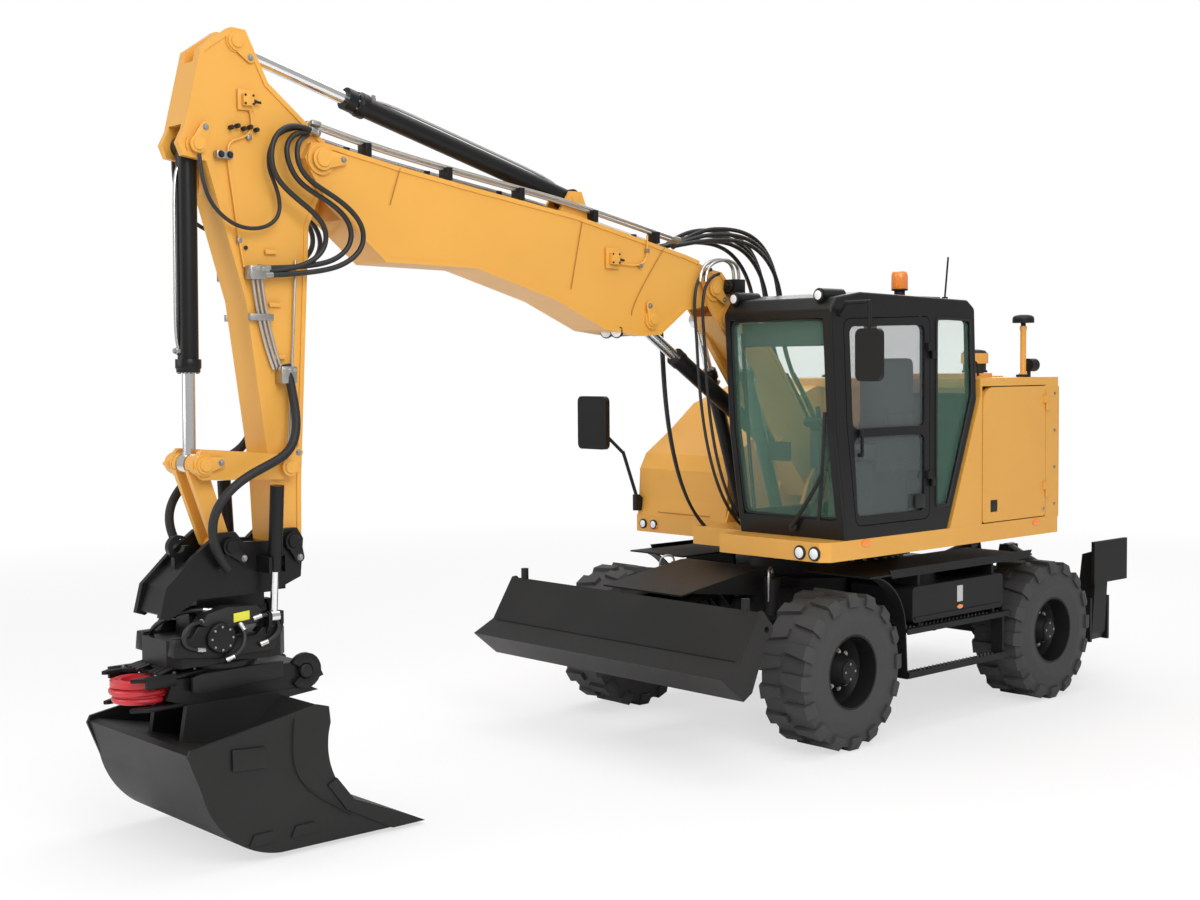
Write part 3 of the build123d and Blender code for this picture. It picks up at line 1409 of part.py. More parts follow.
carrier_inner = arm_half + pin_gap
carrier_outer = carrier_inner + 38
tilt_axis_z = 1290.0
tilt_rear_x, tilt_front_x = front_x + 3840, front_x + 4392
with BuildPart() as tool_carrier:
    for side in (-1, 1):
        side_form(
            [
                (tool_pin[0] - 80, tool_pin[1] + 10),
                (tool_pin[0] - 40, tool_pin[1] + 75),
                (tool_pin[0] + 40, tool_pin[1] + 75),
                (tool_pin[0] + 120, tool_pin[1] + 10),
                (link_end_pin[0] - 90, link_end_pin[1] + 20),
                (link_end_pin[0] - 40, link_end_pin[1] + 80),
                (link_end_pin[0] + 60, link_end_pin[1] + 80),
                (front_x + 4400, 1640),
                (front_x + 4570, 1480),
                (front_x + 4610, 1320),
                (front_x + 4560, 1303),
                (front_x + 4380, 1400),
                (front_x + 3900, 1400),
                (tool_pin[0] - 60, 1470),
            ],
            side * carrier_outer,
            side * carrier_inner,
        )
    block(front_x + 3800, front_x + 4400, -carrier_inner, carrier_inner, 1402, 1440)
    side_form(
        [
            (front_x + 4400, 1402),
            (front_x + 4560, 1320),
            (front_x + 4590, 1335),
            (front_x + 4540, 1480),
            (front_x + 4400, 1600),
        ],
        carrier_inner,
        -carrier_inner,
    )
    hook = (front_x + 4415, 1685.0)
    cross_bar(hook, 20, -20, 66)
    block(hook[0] - 30, hook[0] + 30, -20, 20, 1560, hook[1] - 40)
    cross_bar(hook, 25, -25, 34, Mode.SUBTRACT)
    block(hook[0] - 80, hook[0] - 5, -25, 25, hook[1] + 4, hook[1] + 44, Mode.SUBTRACT)
    block(tilt_rear_x + 60, tilt_front_x - 60, -50, 50, tilt_axis_z, 1410)
    bar((tilt_rear_x, 0, tilt_axis_z), (tilt_front_x, 0, tilt_axis_z), 34)
    bar((tilt_rear_x + 45, 0, tilt_axis_z), (tilt_front_x - 45, 0, tilt_axis_z), 55)
    cross_bar(tool_pin, carrier_outer + 22, -carrier_outer - 22, 40)
    for side in (-1, 1):
        cross_bar(link_end_pin, side * (carrier_outer + 18), side * (carrier_outer - 4), 44)
        for x in (tilt_ram_x - 62, tilt_ram_x + 42):
            block(x, x + 20, side * (carrier_outer - 5), side * (tilt_trunnion_y + 40), tilt_trunnion_z - 45,
                  tilt_trunnion_z + 45)
        bar((tilt_ram_x - 200, side * tilt_trunnion_y, tilt_trunnion_z),
            (tilt_ram_x + 200, side * tilt_trunnion_y, tilt_trunnion_z), 20 + fit, Mode.SUBTRACT)
write(tool_carrier, "tool_carrier")

# Tilt rams hang in trunnions beside the arm
tilt_barrel_length = 2 * tilt_stroke + 120
with BuildPart() as tilt_barrels:
    for side in (-1, 1):
        trunnion = Vector(tilt_ram_x, side * tilt_trunnion_y, tilt_trunnion_z)
        eye = Vector(tilt_ram_x, side * tilt_eye_y, tilt_eye_z)
        line = (eye - trunnion).normalized()
        bar(trunnion - line * tilt_barrel_length, trunnion + line * 40, 40)
        bar(trunnion - ahead * 60, trunnion + ahead * 60, 20)
        bar(trunnion - line * (tilt_barrel_length - 20), trunnion + line * 60, 22 + fit, Mode.SUBTRACT)
write(tilt_barrels, "tilt_barrels")
for side, word in ((1, "left"), (-1, "right")):
    trunnion = Vector(tilt_ram_x, side * tilt_trunnion_y, tilt_trunnion_z)
    eye = Vector(tilt_ram_x, side * tilt_eye_y, tilt_eye_z)
    line = (eye - trunnion).normalized()
    with BuildPart() as tilt_rod:
        bar(trunnion - line * (tilt_stroke + 90), eye, 22)
        bar(eye - ahead * 26, eye + ahead * 26, 34)
    write(tilt_rod, f"tilt_rod_{word}")

# Tilt body, swinging about the long shaft
tilt_body_low_z, tilt_body_high_z = 1035.0, 1190.0
rotor_x = front_x + 4200
with BuildPart() as tilt_body:
    block(tilt_rear_x - 10, front_x + 4570, -205, 205, tilt_body_low_z, tilt_body_high_z)
    chamfer(tilt_body.edges().filter_by(Axis.Z), 60)
    for x in (tilt_rear_x, tilt_front_x - 40):
        front_form(
            [
                (-90, tilt_body_high_z - 5),
                (-70, tilt_axis_z + 20),
                (-30, tilt_axis_z + 52),
                (30, tilt_axis_z + 52),
                (70, tilt_axis_z + 20),
                (90, tilt_body_high_z - 5),
            ],
            x,
            x + 40,
        )
    bar((tilt_rear_x - 50, 0, tilt_axis_z), (tilt_front_x + 50, 0, tilt_axis_z), 34 + fit, Mode.SUBTRACT)
    for side in (-1, 1):
        for x in (tilt_ram_x - 48, tilt_ram_x + 30):
            front_form(
                [
                    (side * 190, 1100),
                    (side * 190, 1170),
                    (side * (tilt_eye_y - 9), tilt_eye_z + 30),
                    (side * (tilt_eye_y + 30), tilt_eye_z + 30),
                    (side * (tilt_eye_y + 30), tilt_eye_z - 40),
                ],
                x,
                x + 18,
            )
    bar((rotor_x, 0, tilt_body_low_z - 25), (rotor_x, 0, tilt_body_low_z), 235)
write(tilt_body, "tilt_body")

# Rotor with the lower coupler
coupler_low_z, coupler_high_z = 830.0, 980.0
with BuildPart() as rotor:
    bar((rotor_x, 0, coupler_high_z - 5), (rotor_x, 0, tilt_body_low_z - 25 - slew_gap), 225)
    block(front_x + 3740, front_x + 4560, -190, 190, coupler_low_z + 60, coupler_high_z)
    for side in (-1, 1):
        side_form(
            [
                (front_x + 3640, 960),
                (front_x + 3740, coupler_high_z),
                (front_x + 4560, coupler_high_z),
                (front_x + 4600, coupler_low_z + 40),
                (front_x + 4480, coupler_low_z),
                (front_x + 3760, coupler_low_z),
                (front_x + 3600, 880),
            ],
            side * 195,
            side * 165,
        )
write(rotor, "rotor")

with BuildPart() as gripper_fingers:
    for z, reach in ((890.0, 4800), (945.0, 4820)):
        with BuildSketch(Plane.XY.offset(z)) as claw:
            with BuildLine():
                tip = front_x + reach
                ThreePointArc((front_x + 4602, -135), (tip, 0), (front_x + 4602, 135))
                Line((front_x + 4602, 135), (front_x + 4602, 84))
                ThreePointArc((front_x + 4602, 84), (tip - 62, 0), (front_x + 4602, -84))
                Line((front_x + 4602, -84), (front_x + 4602, -135))
            make_face()
        extrude(claw.sketch, amount=32)
    block(front_x + 4560 + seat, front_x + 4610, -140, 140, 890, 977)
write(gripper_fingers, "gripper_fingers")

# Grading bucket
bucket_half = 610.0
with BuildPart() as bucket:
    curved_side(
        [
            ((front_x + 3190, 22), (front_x + 4150, 30)),
            ((front_x + 4150, 30), (front_x + 4440, 150), (front_x + 4620, 440)),
            ((front_x + 4620, 440), (front_x + 4690, 650)),
            ((front_x + 4690, 650), (front_x + 4640, 660)),
            ((front_x + 4640, 660), (front_x + 4578, 462)),
            ((front_x + 4578, 462), (front_x + 4409, 186), (front_x + 4140, 72)),
            ((front_x + 4140, 72), (front_x + 3300, 50)),
            ((front_x + 3300, 50), (front_x + 3190, 22)),
        ],
        bucket_half,
        -bucket_half,
    )
    side_form(
        [
            (front_x + 4690, 650),
            (front_x + 4640, 660),
            (front_x + 4200, 560),
            (front_x + 3880, 800),
            (front_x + 3850, 770),
            (front_x + 4190, 515),
            (front_x + 4650, 600),
        ],
        bucket_half,
        -bucket_half,
    )
    for side in (-1, 1):
        curved_side(
            [
                ((front_x + 3190, 22), (front_x + 4150, 30)),
                ((front_x + 4150, 30), (front_x + 4440, 150), (front_x + 4620, 440)),
                ((front_x + 4620, 440), (front_x + 4700, 640)),
                ((front_x + 4700, 640), (front_x + 4680, 680)),
                ((front_x + 4680, 680), (front_x + 3900, 810)),
                ((front_x + 3900, 810), (front_x + 3830, 790)),
                ((front_x + 3830, 790), (front_x + 3820, 700)),
                ((front_x + 3820, 700), (front_x + 3822, 450), (front_x + 3680, 240)),
                ((front_x + 3680, 240), (front_x + 3330, 90)),
                ((front_x + 3330, 90), (front_x + 3190, 22)),
            ],
            side * bucket_half,
            side * (bucket_half - 20),
        )
        side_form(
            [
                (front_x + 3190, 22),
                (front_x + 3330, 90),
                (front_x + 3680, 240),
                (front_x + 3790, 380),
                (front_x + 3850, 350),
                (front_x + 3730, 190),
                (front_x + 3420, 22),
            ],
            side * (bucket_half + 12),
            side * (bucket_half - 5),
        )
        for x in (front_x + 4000, front_x + 4260):
            side_form(
                [(x - 90, 100), (x + 90, 100), (x + 60, 160), (x - 60, 160)],
                side * (bucket_half + 10),
                side * (bucket_half - 5),
            )
        side_form(
            [
                (front_x + 3640, coupler_low_z - 30),
                (front_x + 3700, coupler_low_z - seat),
                (front_x + 4480, coupler_low_z - seat),
                (front_x + 4520, 600),
                (front_x + 4200, 530),
                (front_x + 3880, 780),
            ],
            side * 200,
            side * 160,
        )
write(bucket, "bucket")
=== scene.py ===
"""Finishes and fine detail of a wheeled excavator with a tilting, turning grading bucket."""

import logging
import math
from dataclasses import dataclass, field
from enum import Enum

import bpy
from mathutils import Matrix, Vector


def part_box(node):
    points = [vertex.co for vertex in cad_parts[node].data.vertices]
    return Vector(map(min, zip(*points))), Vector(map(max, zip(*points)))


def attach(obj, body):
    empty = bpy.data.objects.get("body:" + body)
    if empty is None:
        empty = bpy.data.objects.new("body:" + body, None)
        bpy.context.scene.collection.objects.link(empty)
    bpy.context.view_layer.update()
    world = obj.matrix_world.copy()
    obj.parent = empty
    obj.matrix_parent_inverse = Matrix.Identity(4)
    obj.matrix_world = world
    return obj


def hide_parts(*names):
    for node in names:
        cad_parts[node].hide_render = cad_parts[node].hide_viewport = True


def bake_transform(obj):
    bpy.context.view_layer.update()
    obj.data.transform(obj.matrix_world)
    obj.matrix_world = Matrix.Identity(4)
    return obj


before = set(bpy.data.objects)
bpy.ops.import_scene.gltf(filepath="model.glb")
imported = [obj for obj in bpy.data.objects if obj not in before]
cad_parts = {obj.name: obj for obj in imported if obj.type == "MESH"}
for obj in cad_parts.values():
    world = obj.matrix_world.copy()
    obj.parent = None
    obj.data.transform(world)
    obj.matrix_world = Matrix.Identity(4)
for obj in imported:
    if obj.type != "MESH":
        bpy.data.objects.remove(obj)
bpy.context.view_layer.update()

logging.basicConfig(level=logging.INFO, format="%(message)s")
LOG = logging.getLogger("excavator")

FRONT_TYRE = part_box("tyre_front_left")
FRONT_X = (FRONT_TYRE[0].x + FRONT_TYRE[1].x) / 2
AXLE_Z = (FRONT_TYRE[0].z + FRONT_TYRE[1].z) / 2
WHEELBASE = FRONT_X - (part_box("tyre_rear_left")[0].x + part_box("tyre_rear_left")[1].x) / 2
CAB_SIDE_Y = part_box("cab_door")[1].y - 0.034
SKIRT_Y = 1.25
BOOM_FACE_Y = 0.165
ARM_FACE_Y = 0.118
AUTO_SMOOTH = math.radians(35)
OVAL_SIDES = 24
SIDES = (1, -1)

Profile = tuple[tuple[float, float], ...]
Route = tuple[tuple[float, float, float], ...]


def at(ahead: float, across: float, up: float) -> Vector:
    """Place in the machine's frame of a point measured from the front axle and the ground."""
    return Vector((FRONT_X + ahead, across, up))


def word_of(side: int) -> str:
    """Word for a side in the names of pieces."""
    return "left" if side > 0 else "right"


def oval(ahead: float, up: float, wide: float, tall: float) -> list[tuple[float, float]]:
    """Points round an oval, given its middle and half its width and height."""
    turns = [place * math.tau / OVAL_SIDES for place in range(OVAL_SIDES)]
    return [(ahead + wide * math.cos(turn), up + tall * math.sin(turn)) for turn in turns]


class Along(Enum):
    """Axis that a flat plate's thickness or a turned piece follows."""

    X = Vector((1, 0, 0))
    Y = Vector((0, 1, 0))
    Z = Vector((0, 0, 1))


class Recipe:
    """Node tree of a material or of the world, built node by node."""

    def __init__(self, tree: bpy.types.NodeTree) -> None:
        """Keep the tree that the nodes go into."""
        self.tree = tree

    @staticmethod
    def shaded(name: str) -> tuple["Recipe", bpy.types.Material, bpy.types.Node]:
        """Start a new material.

        Args:
            name: Name of the material.

        Returns:
            Its recipe, the material and the material's shader.
        """
        material = bpy.data.materials.new(name)
        material.use_nodes = True
        return Recipe(material.node_tree), material, material.node_tree.nodes["Principled BSDF"]

    def fill(self, node: bpy.types.Node, sockets: dict[str | int, object]) -> None:
        """Set sockets to plain values, or link those that are given another node's output.

        Args:
            node: Node that the sockets belong to.
            sockets: Value or output for each socket, by the socket's name or place.
        """
        for socket, value in sockets.items():
            if isinstance(value, bpy.types.NodeSocket):
                self.tree.links.new(value, node.inputs[socket])
            else:
                node.inputs[socket].default_value = value

    def add(
        self, kind: str, output: str, sockets: dict[str | int, object] | None = None, **settings: str
    ) -> bpy.types.NodeSocket:
        """Add a node.

        Args:
            kind: Type of the node.
            output: Name of the output that is wanted.
            sockets: Value or output for each input that doesn't stay as it is.
            settings: Properties that choose what the node does.

        Returns:
            The wanted output.
        """
        node = self.tree.nodes.new(kind)
        for setting, choice in settings.items():
            setattr(node, setting, choice)
        self.fill(node, sockets or {})
        return node.outputs[output]


@dataclass(frozen=True)
class Finish:
    """Opaque surface with two shades in patches, a fine grain, and a gloss that varies."""

    name: str
    colour: tuple[float, float, float]
    worn: tuple[float, float, float]
    roughness: float
    metallic: float = 0.0
    patch_scale: float = 1.6
    patch_edges: tuple[float, float] = (0.42, 0.72)
    patch_share: float = 0.35
    grain_scale: float = 140.0
    grain_depth: float = 0.0006
    grain_strength: float = 0.6
    gloss_range: float = 0.10
    coat: float = 0.0
    coat_roughness: float = 0.12
    shine: float = 0.5

    def material(self) -> bpy.types.Material:
        """Material of this finish, made once.

        Returns:
            The node material that every piece with this finish shares.
        """
        known = bpy.data.materials.get(self.name)
        if known:
            return known
        recipe, material, shader = Recipe.shaded(self.name)
        place = recipe.add("ShaderNodeTexCoord", "Object")
        patches = recipe.add("ShaderNodeTexNoise", "Fac",
                             {"Scale": self.patch_scale, "Detail": 6.0, "Vector": place})
        low, high = self.patch_edges
        share = recipe.add("ShaderNodeMapRange", "Result",
                           {"From Min": low, "From Max": high, "To Max": self.patch_share, "Value": patches})
        shade = recipe.add("ShaderNodeMix", "Result",
                           {"A": (*self.colour, 1.0), "B": (*self.worn, 1.0), "Factor": share},
                           data_type="RGBA")
        grain = recipe.add("ShaderNodeTexNoise", "Fac",
                           {"Scale": self.grain_scale, "Detail": 3.0, "Vector": place})
        gloss = recipe.add("ShaderNodeMapRange", "Result",
                           {"To Min": max(0.02, self.roughness - self.gloss_range),
                            "To Max": min(1.0, self.roughness + self.gloss_range), "Value": patches})
        bump = recipe.add("ShaderNodeBump", "Normal",
                          {"Distance": self.grain_depth, "Strength": self.grain_strength, "Height": grain})
        recipe.fill(shader, {"Metallic": self.metallic, "Coat Weight": self.coat,
                             "Coat Roughness": self.coat_roughness, "Specular IOR Level": self.shine,
                             "Base Color": shade, "Roughness": gloss, "Normal": bump})
        return material


@dataclass(frozen=True)
class Pane:
    """Tinted glass, partly see-through, with a faint film of dust."""

    name: str
    tint: tuple[float, float, float]
    cover: float
    roughness: float = 0.04
    film: float = 0.08
    dust_scale: float = 3.0

    def material(self) -> bpy.types.Material:
        """Material of this glass, made once.

        Returns:
            The node material that every pane with this tint shares.
        """
        known = bpy.data.materials.get(self.name)
        if known:
            return known
        recipe, material, shader = Recipe.shaded(self.name)
        place = recipe.add("ShaderNodeTexCoord", "Object")
        dust = recipe.add("ShaderNodeTexNoise", "Fac",
                          {"Scale": self.dust_scale, "Detail": 5.0, "Vector": place})
        gloss = recipe.add("ShaderNodeMapRange", "Result",
                           {"To Min": self.roughness, "To Max": self.roughness + self.film, "Value": dust})
        recipe.fill(shader, {"Base Color": (*self.tint, 1.0), "Alpha": self.cover, "Coat Weight": 1.0,
                             "Coat Roughness": 0.02, "Roughness": gloss})
        return material


@dataclass(frozen=True)
class Glow:
    """Lamp lens: clear plastic over a bright reflector, with fine flutes."""

    name: str
    colour: tuple[float, float, float]
    roughness: float = 0.12
    glow: float = 0.05
    flutes: float = 90.0
    flute_depth: float = 0.001

    def material(self) -> bpy.types.Material:
        """Material of this lens, made once.

        Returns:
            The node material that every lens of this colour shares.
        """
        known = bpy.data.materials.get(self.name)
        if known:
            return known
        recipe, material, shader = Recipe.shaded(self.name)
        place = recipe.add("ShaderNodeTexCoord", "Object")
        ribs = recipe.add("ShaderNodeTexWave", "Fac", {"Scale": self.flutes, "Vector": place})
        bump = recipe.add("ShaderNodeBump", "Normal",
                          {"Distance": self.flute_depth, "Strength": 0.4, "Height": ribs})
        light = (*self.colour, 1.0)
        recipe.fill(shader, {"Base Color": light, "Roughness": self.roughness, "Coat Weight": 1.0,
                             "Emission Color": light, "Emission Strength": self.glow, "Normal": bump})
        return material


MACHINE_YELLOW = Finish("machine_yellow", (0.80, 0.398, 0.066), (0.70, 0.335, 0.050), 0.38, coat=0.22,
                        grain_scale=420.0, grain_depth=0.0003)
FRAME_BLACK = Finish("frame_black", (0.010, 0.010, 0.010), (0.020, 0.0195, 0.019), 0.50, shine=0.26)
CAB_BLACK = Finish("cab_black", (0.0075, 0.0075, 0.0076), (0.014, 0.014, 0.0145), 0.38, coat=0.06, shine=0.26)
BLADE_GREY = Finish("blade_grey", (0.017, 0.017, 0.0162), (0.030, 0.029, 0.028), 0.46, patch_scale=2.4,
                    shine=0.25)
RUBBER = Finish("tyre_rubber", (0.0095, 0.0095, 0.0097), (0.019, 0.018, 0.017), 0.78, grain_scale=260.0,
                grain_depth=0.0012, shine=0.25)
HOSE_BLACK = Finish("hose_rubber", (0.013, 0.013, 0.0135), (0.024, 0.024, 0.025), 0.46, grain_scale=600.0)
CHROME = Finish("chromed_rod", (0.80, 0.80, 0.81), (0.70, 0.70, 0.71), 0.16, metallic=1.0, gloss_range=0.05,
                grain_depth=0.0001)
STEEL_PIPE = Finish("plated_pipe", (0.62, 0.61, 0.59), (0.48, 0.46, 0.43), 0.30, metallic=1.0,
                    grain_scale=260.0)
BOLT_ZINC = Finish("bolt_zinc", (0.42, 0.41, 0.39), (0.30, 0.29, 0.27), 0.42, metallic=1.0)
CLAW_RED = Finish("claw_red", (0.60, 0.025, 0.035), (0.45, 0.02, 0.03), 0.36, coat=0.2)
TRIM_BLACK = Finish("moulded_trim", (0.008, 0.008, 0.0085), (0.014, 0.014, 0.0145), 0.58, grain_scale=700.0,
                    grain_depth=0.0008)
SEAT_CLOTH = Finish("seat_cloth", (0.030, 0.031, 0.034), (0.050, 0.051, 0.055), 0.92, grain_scale=900.0,
                    grain_depth=0.002)
INSIDE_GREY = Finish("cab_lining", (0.030, 0.031, 0.033), (0.045, 0.046, 0.048), 0.75, grain_scale=500.0)
ENGINE_GREY = Finish("engine_casting", (0.10, 0.10, 0.11), (0.15, 0.14, 0.13), 0.60, grain_scale=200.0)
MIRROR_FACE = Finish("mirror_silver", (0.85, 0.86, 0.87), (0.80, 0.81, 0.82), 0.05, metallic=1.0,
                     gloss_range=0.02)
BLANK_PLATE = Finish("blank_plate", (0.55, 0.55, 0.54), (0.47, 0.47, 0.46), 0.40)
SEAM_BROWN = Finish("weld_seam", (0.42, 0.19, 0.03), (0.34, 0.15, 0.025), 0.5)
TAG_YELLOW = Finish("blank_tag", (0.78, 0.74, 0.05), (0.70, 0.66, 0.05), 0.42)
CAB_PANE = Pane("cab_pane", (0.30, 0.62, 0.46), 0.10)
DOOR_PANE = Pane("door_pane", (0.14, 0.17, 0.17), 0.30)
LENS_CLEAR = Glow("lens_clear", (0.86, 0.88, 0.90))
LENS_ORANGE = Glow("lens_orange", (0.95, 0.26, 0.02))


class Bench:
    """Makes meshes the way a modeller does, with primitives, edit mode and modifiers."""

    LID_SHARE = 0.12

    @staticmethod
    def clear() -> None:
        """Leave edit mode and deselect everything."""
        if bpy.context.object and bpy.context.object.mode != "OBJECT":
            bpy.ops.object.mode_set(mode="OBJECT")
        bpy.ops.object.select_all(action="DESELECT")

    @staticmethod
    def only(piece: bpy.types.Object) -> None:
        """Select one piece alone and make it active.

        Args:
            piece: The piece that the next operators work on.
        """
        Bench.clear()
        bpy.context.view_layer.objects.active = piece
        piece.select_set(True)

    @staticmethod
    def outward(piece: bpy.types.Object) -> None:
        """Turn all of a closed piece's faces outwards.

        Args:
            piece: Mesh object without open edges.
        """
        Bench.only(piece)
        bpy.ops.object.mode_set(mode="EDIT")
        bpy.ops.mesh.select_all(action="SELECT")
        bpy.ops.mesh.normals_make_consistent(inside=False)
        bpy.ops.object.mode_set(mode="OBJECT")

    @staticmethod
    def settle(piece: bpy.types.Object, place: Matrix, name: str) -> bpy.types.Object:
        """Put a piece's place into its mesh.

        Args:
            piece: Finished mesh object, modelled about its own origin.
            place: Where the piece goes in the machine's frame.
            name: Name the piece keeps.

        Returns:
            The same object, standing at the origin.
        """
        piece.data.transform(place)
        piece.matrix_world = Matrix.Identity(4)
        piece.name = name
        piece.data.name = name
        return piece

    @staticmethod
    def bevel(piece: bpy.types.Object, width: float, segments: int = 2) -> bpy.types.Object:
        """Round a piece's sharp edges with a modifier that is then applied.

        Args:
            piece: Mesh object to round.
            width: Width of the rounding in metres.
            segments: Faces across the rounding.

        Returns:
            The same object.
        """
        Bench.only(piece)
        rounding = piece.modifiers.new("rounding", "BEVEL")
        rounding.width = width
        rounding.segments = segments
        rounding.limit_method = "ANGLE"
        rounding.angle_limit = AUTO_SMOOTH
        bpy.ops.object.modifier_apply(modifier=rounding.name)
        return piece

    @staticmethod
    def turned(
        name: str,
        start: Vector,
        direction: Vector,
        steps: list[tuple[float, float]],
        sides: int = 32,
        rounding: float = 0.0,
    ) -> bpy.types.Object:
        """Turned piece, such as a pin, cap or lens, drawn out of a disc step by step.

        Args:
            name: Name of the piece.
            start: Centre of its first face.
            direction: Line that it is turned about.
            steps: Radius and distance from the start of each ring, the first at distance 0.
            sides: Faces round it.
            rounding: Width of its rounded edges.

        Returns:
            The finished mesh object.
        """
        Bench.clear()
        bpy.ops.mesh.primitive_circle_add(vertices=sides, radius=steps[0][0], fill_type="NGON")
        piece = bpy.context.object
        bpy.ops.object.mode_set(mode="EDIT")
        bpy.ops.mesh.select_all(action="SELECT")
        for (before, low), (radius, high) in zip(steps, steps[1:]):
            bpy.ops.mesh.extrude_region_move(
                TRANSFORM_OT_translate={"value": (0, 0, max(high - low, 1e-5))}
            )
            share = radius / before
            bpy.ops.transform.resize(value=(share, share, 1), center_override=(0, 0, high))
        bpy.ops.mesh.select_all(action="SELECT")
        bpy.ops.mesh.normals_make_consistent(inside=False)
        bpy.ops.object.mode_set(mode="OBJECT")
        if rounding:
            Bench.bevel(piece, rounding)
        turn = direction.normalized().to_track_quat("Z", "Y").to_matrix().to_4x4()
        return Bench.settle(piece, Matrix.Translation(start) @ turn, name)

    @staticmethod
    def plate(
        name: str,
        outline: list[tuple[float, float]],
        along: Along,
        low: float,
        high: float,
        rounding: float = 0.0,
        inset: float = 0.0,
    ) -> bpy.types.Object:
        """Flat plate with any outline, with a sunk middle if asked.

        Args:
            name: Name of the piece.
            outline: Corners in the plate's own plane, in the order of the two other axes.
            along: Axis of its thickness.
            low: Where it starts on that axis.
            high: Where it ends on that axis.
            rounding: Width of its rounded edges.
            inset: Width of a border round a middle that is sunk by a third of that width.

        Returns:
            The finished mesh object, in the machine's frame.
        """
        Bench.clear()
        bpy.ops.mesh.primitive_circle_add(vertices=len(outline), fill_type="NGON")
        piece = bpy.context.object
        for corner, (u, v) in zip(piece.data.vertices, outline):
            corner.co = (u, v, 0)
        bpy.ops.object.mode_set(mode="EDIT")
        bpy.ops.mesh.select_all(action="SELECT")
        bpy.ops.mesh.extrude_region_move(TRANSFORM_OT_translate={"value": (0, 0, high - low)})
        if inset:
            bpy.ops.mesh.inset(thickness=inset, depth=-inset / 3)
        bpy.ops.mesh.select_all(action="SELECT")
        bpy.ops.mesh.normals_make_consistent(inside=False)
        bpy.ops.object.mode_set(mode="OBJECT")
        if rounding:
            Bench.bevel(piece, rounding)
        turns = {
            Along.X: Matrix(((0, 0, 1, low), (1, 0, 0, 0), (0, 1, 0, 0), (0, 0, 0, 1))),
            Along.Y: Matrix(((1, 0, 0, 0), (0, 0, 1, low), (0, 1, 0, 0), (0, 0, 0, 1))),
            Along.Z: Matrix(((1, 0, 0, 0), (0, 1, 0, 0), (0, 0, 1, low), (0, 0, 0, 1))),
        }
        Bench.settle(piece, turns[along], name)
        Bench.outward(piece)
        return piece

    @staticmethod
    def side_plate(
        name: str,
        side: int,
        outline: list[tuple[float, float]] | Profile,
        across: tuple[float, float],
        rounding: float = 0.0,
        inset: float = 0.0,
    ) -> bpy.types.Object:
        """Upright plate on one side of the machine.

        Args:
            name: Name of the piece.
            side: 1 on the left, -1 on the right.
            outline: Corners, measured from the front axle and the ground.
            across: Its two faces' distances from the machine's middle.
            rounding: Width of its rounded edges.
            inset: Width of a border round a sunk middle.

        Returns:
            The finished mesh object.
        """
        low, high = sorted((side * across[0], side * across[1]))
        return Bench.plate(name, [(FRONT_X + x, z) for x, z in outline], Along.Y, low, high, rounding, inset)

    @staticmethod
    def brick(name: str, low: Vector, high: Vector, rounding: float) -> bpy.types.Object:
        """Rounded housing between two corners, with a shallow lid line on its top.

        Args:
            name: Name of the piece.
            low: Its lowest corner.
            high: Its highest corner.
            rounding: Width of its rounded edges.

        Returns:
            The finished mesh object.
        """
        corners = [(low.x, low.y), (high.x, low.y), (high.x, high.y), (low.x, high.y)]
        lid = min(high.x - low.x, high.y - low.y) * Bench.LID_SHARE
        return Bench.plate(name, corners, Along.Z, low.z, high.z, rounding, lid)

    @staticmethod
    def side_brick(
        name: str,
        side: int,
        ahead: tuple[float, float],
        across: tuple[float, float],
        up: tuple[float, float],
        rounding: float,
    ) -> bpy.types.Object:
        """Rounded housing on one side of the machine.

        Args:
            name: Name of the piece.
            side: 1 on the left, -1 on the right.
            ahead: Where it starts and ends ahead of the front axle.
            across: Its two sides' distances from the machine's middle.
            up: Where it starts and ends above the ground.
            rounding: Width of its rounded edges.

        Returns:
            The finished mesh object.
        """
        low, high = sorted((side * across[0], side * across[1]))
        return Bench.brick(name, at(ahead[0], low, up[0]), at(ahead[1], high, up[1]), rounding)

    @staticmethod
    def pipe(name: str, route: list[Vector], radius: float, sides: int = 8) -> bpy.types.Object:
        """Pipe or hose along a smooth curve through given points.

        Args:
            name: Name of the piece.
            route: Points that guide the curve, ends included.
            radius: Outer radius.
            sides: Half the faces round the section.

        Returns:
            The finished mesh object, with closed ends.
        """
        Bench.clear()
        curve = bpy.data.curves.new(name, "CURVE")
        curve.dimensions = "3D"
        curve.bevel_depth = radius
        curve.bevel_resolution = max(1, sides // 2)
        curve.use_fill_caps = True
        curve.resolution_u = 10
        line = curve.splines.new("NURBS")
        line.points.add(len(route) - 1)
        for point, place in zip(line.points, route):
            point.co = (*place, 1.0)
        line.order_u = min(4, len(route))
        line.use_endpoint_u = True
        piece = bpy.data.objects.new(name, curve)
        bpy.context.collection.objects.link(piece)
        Bench.only(piece)
        bpy.ops.object.convert(target="MESH")
        piece = bpy.context.object
        piece.name = name
        piece.data.name = name
        return piece

    @staticmethod
    def bolt(name: str, head: Vector, direction: Vector, across: float) -> bpy.types.Object:
        """Hexagon bolt head on its washer, pointing out of a face.

        Args:
            name: Name of the piece.
            head: Where the washer meets the face.
            direction: Outward direction.
            across: Radius of the hexagon's corners.

        Returns:
            The finished mesh object.
        """
        thick = across * 0.9
        washer = Bench.turned(name + "_washer", head, direction,
                              [(across * 1.35, 0), (across * 1.35, across * 0.2)], 16)
        hexagon = Bench.turned(name, head, direction,
                               [(across, 0), (across, thick), (across * 0.8, thick * 1.15)], 6)
        return Bench.joined(name, [hexagon, washer])

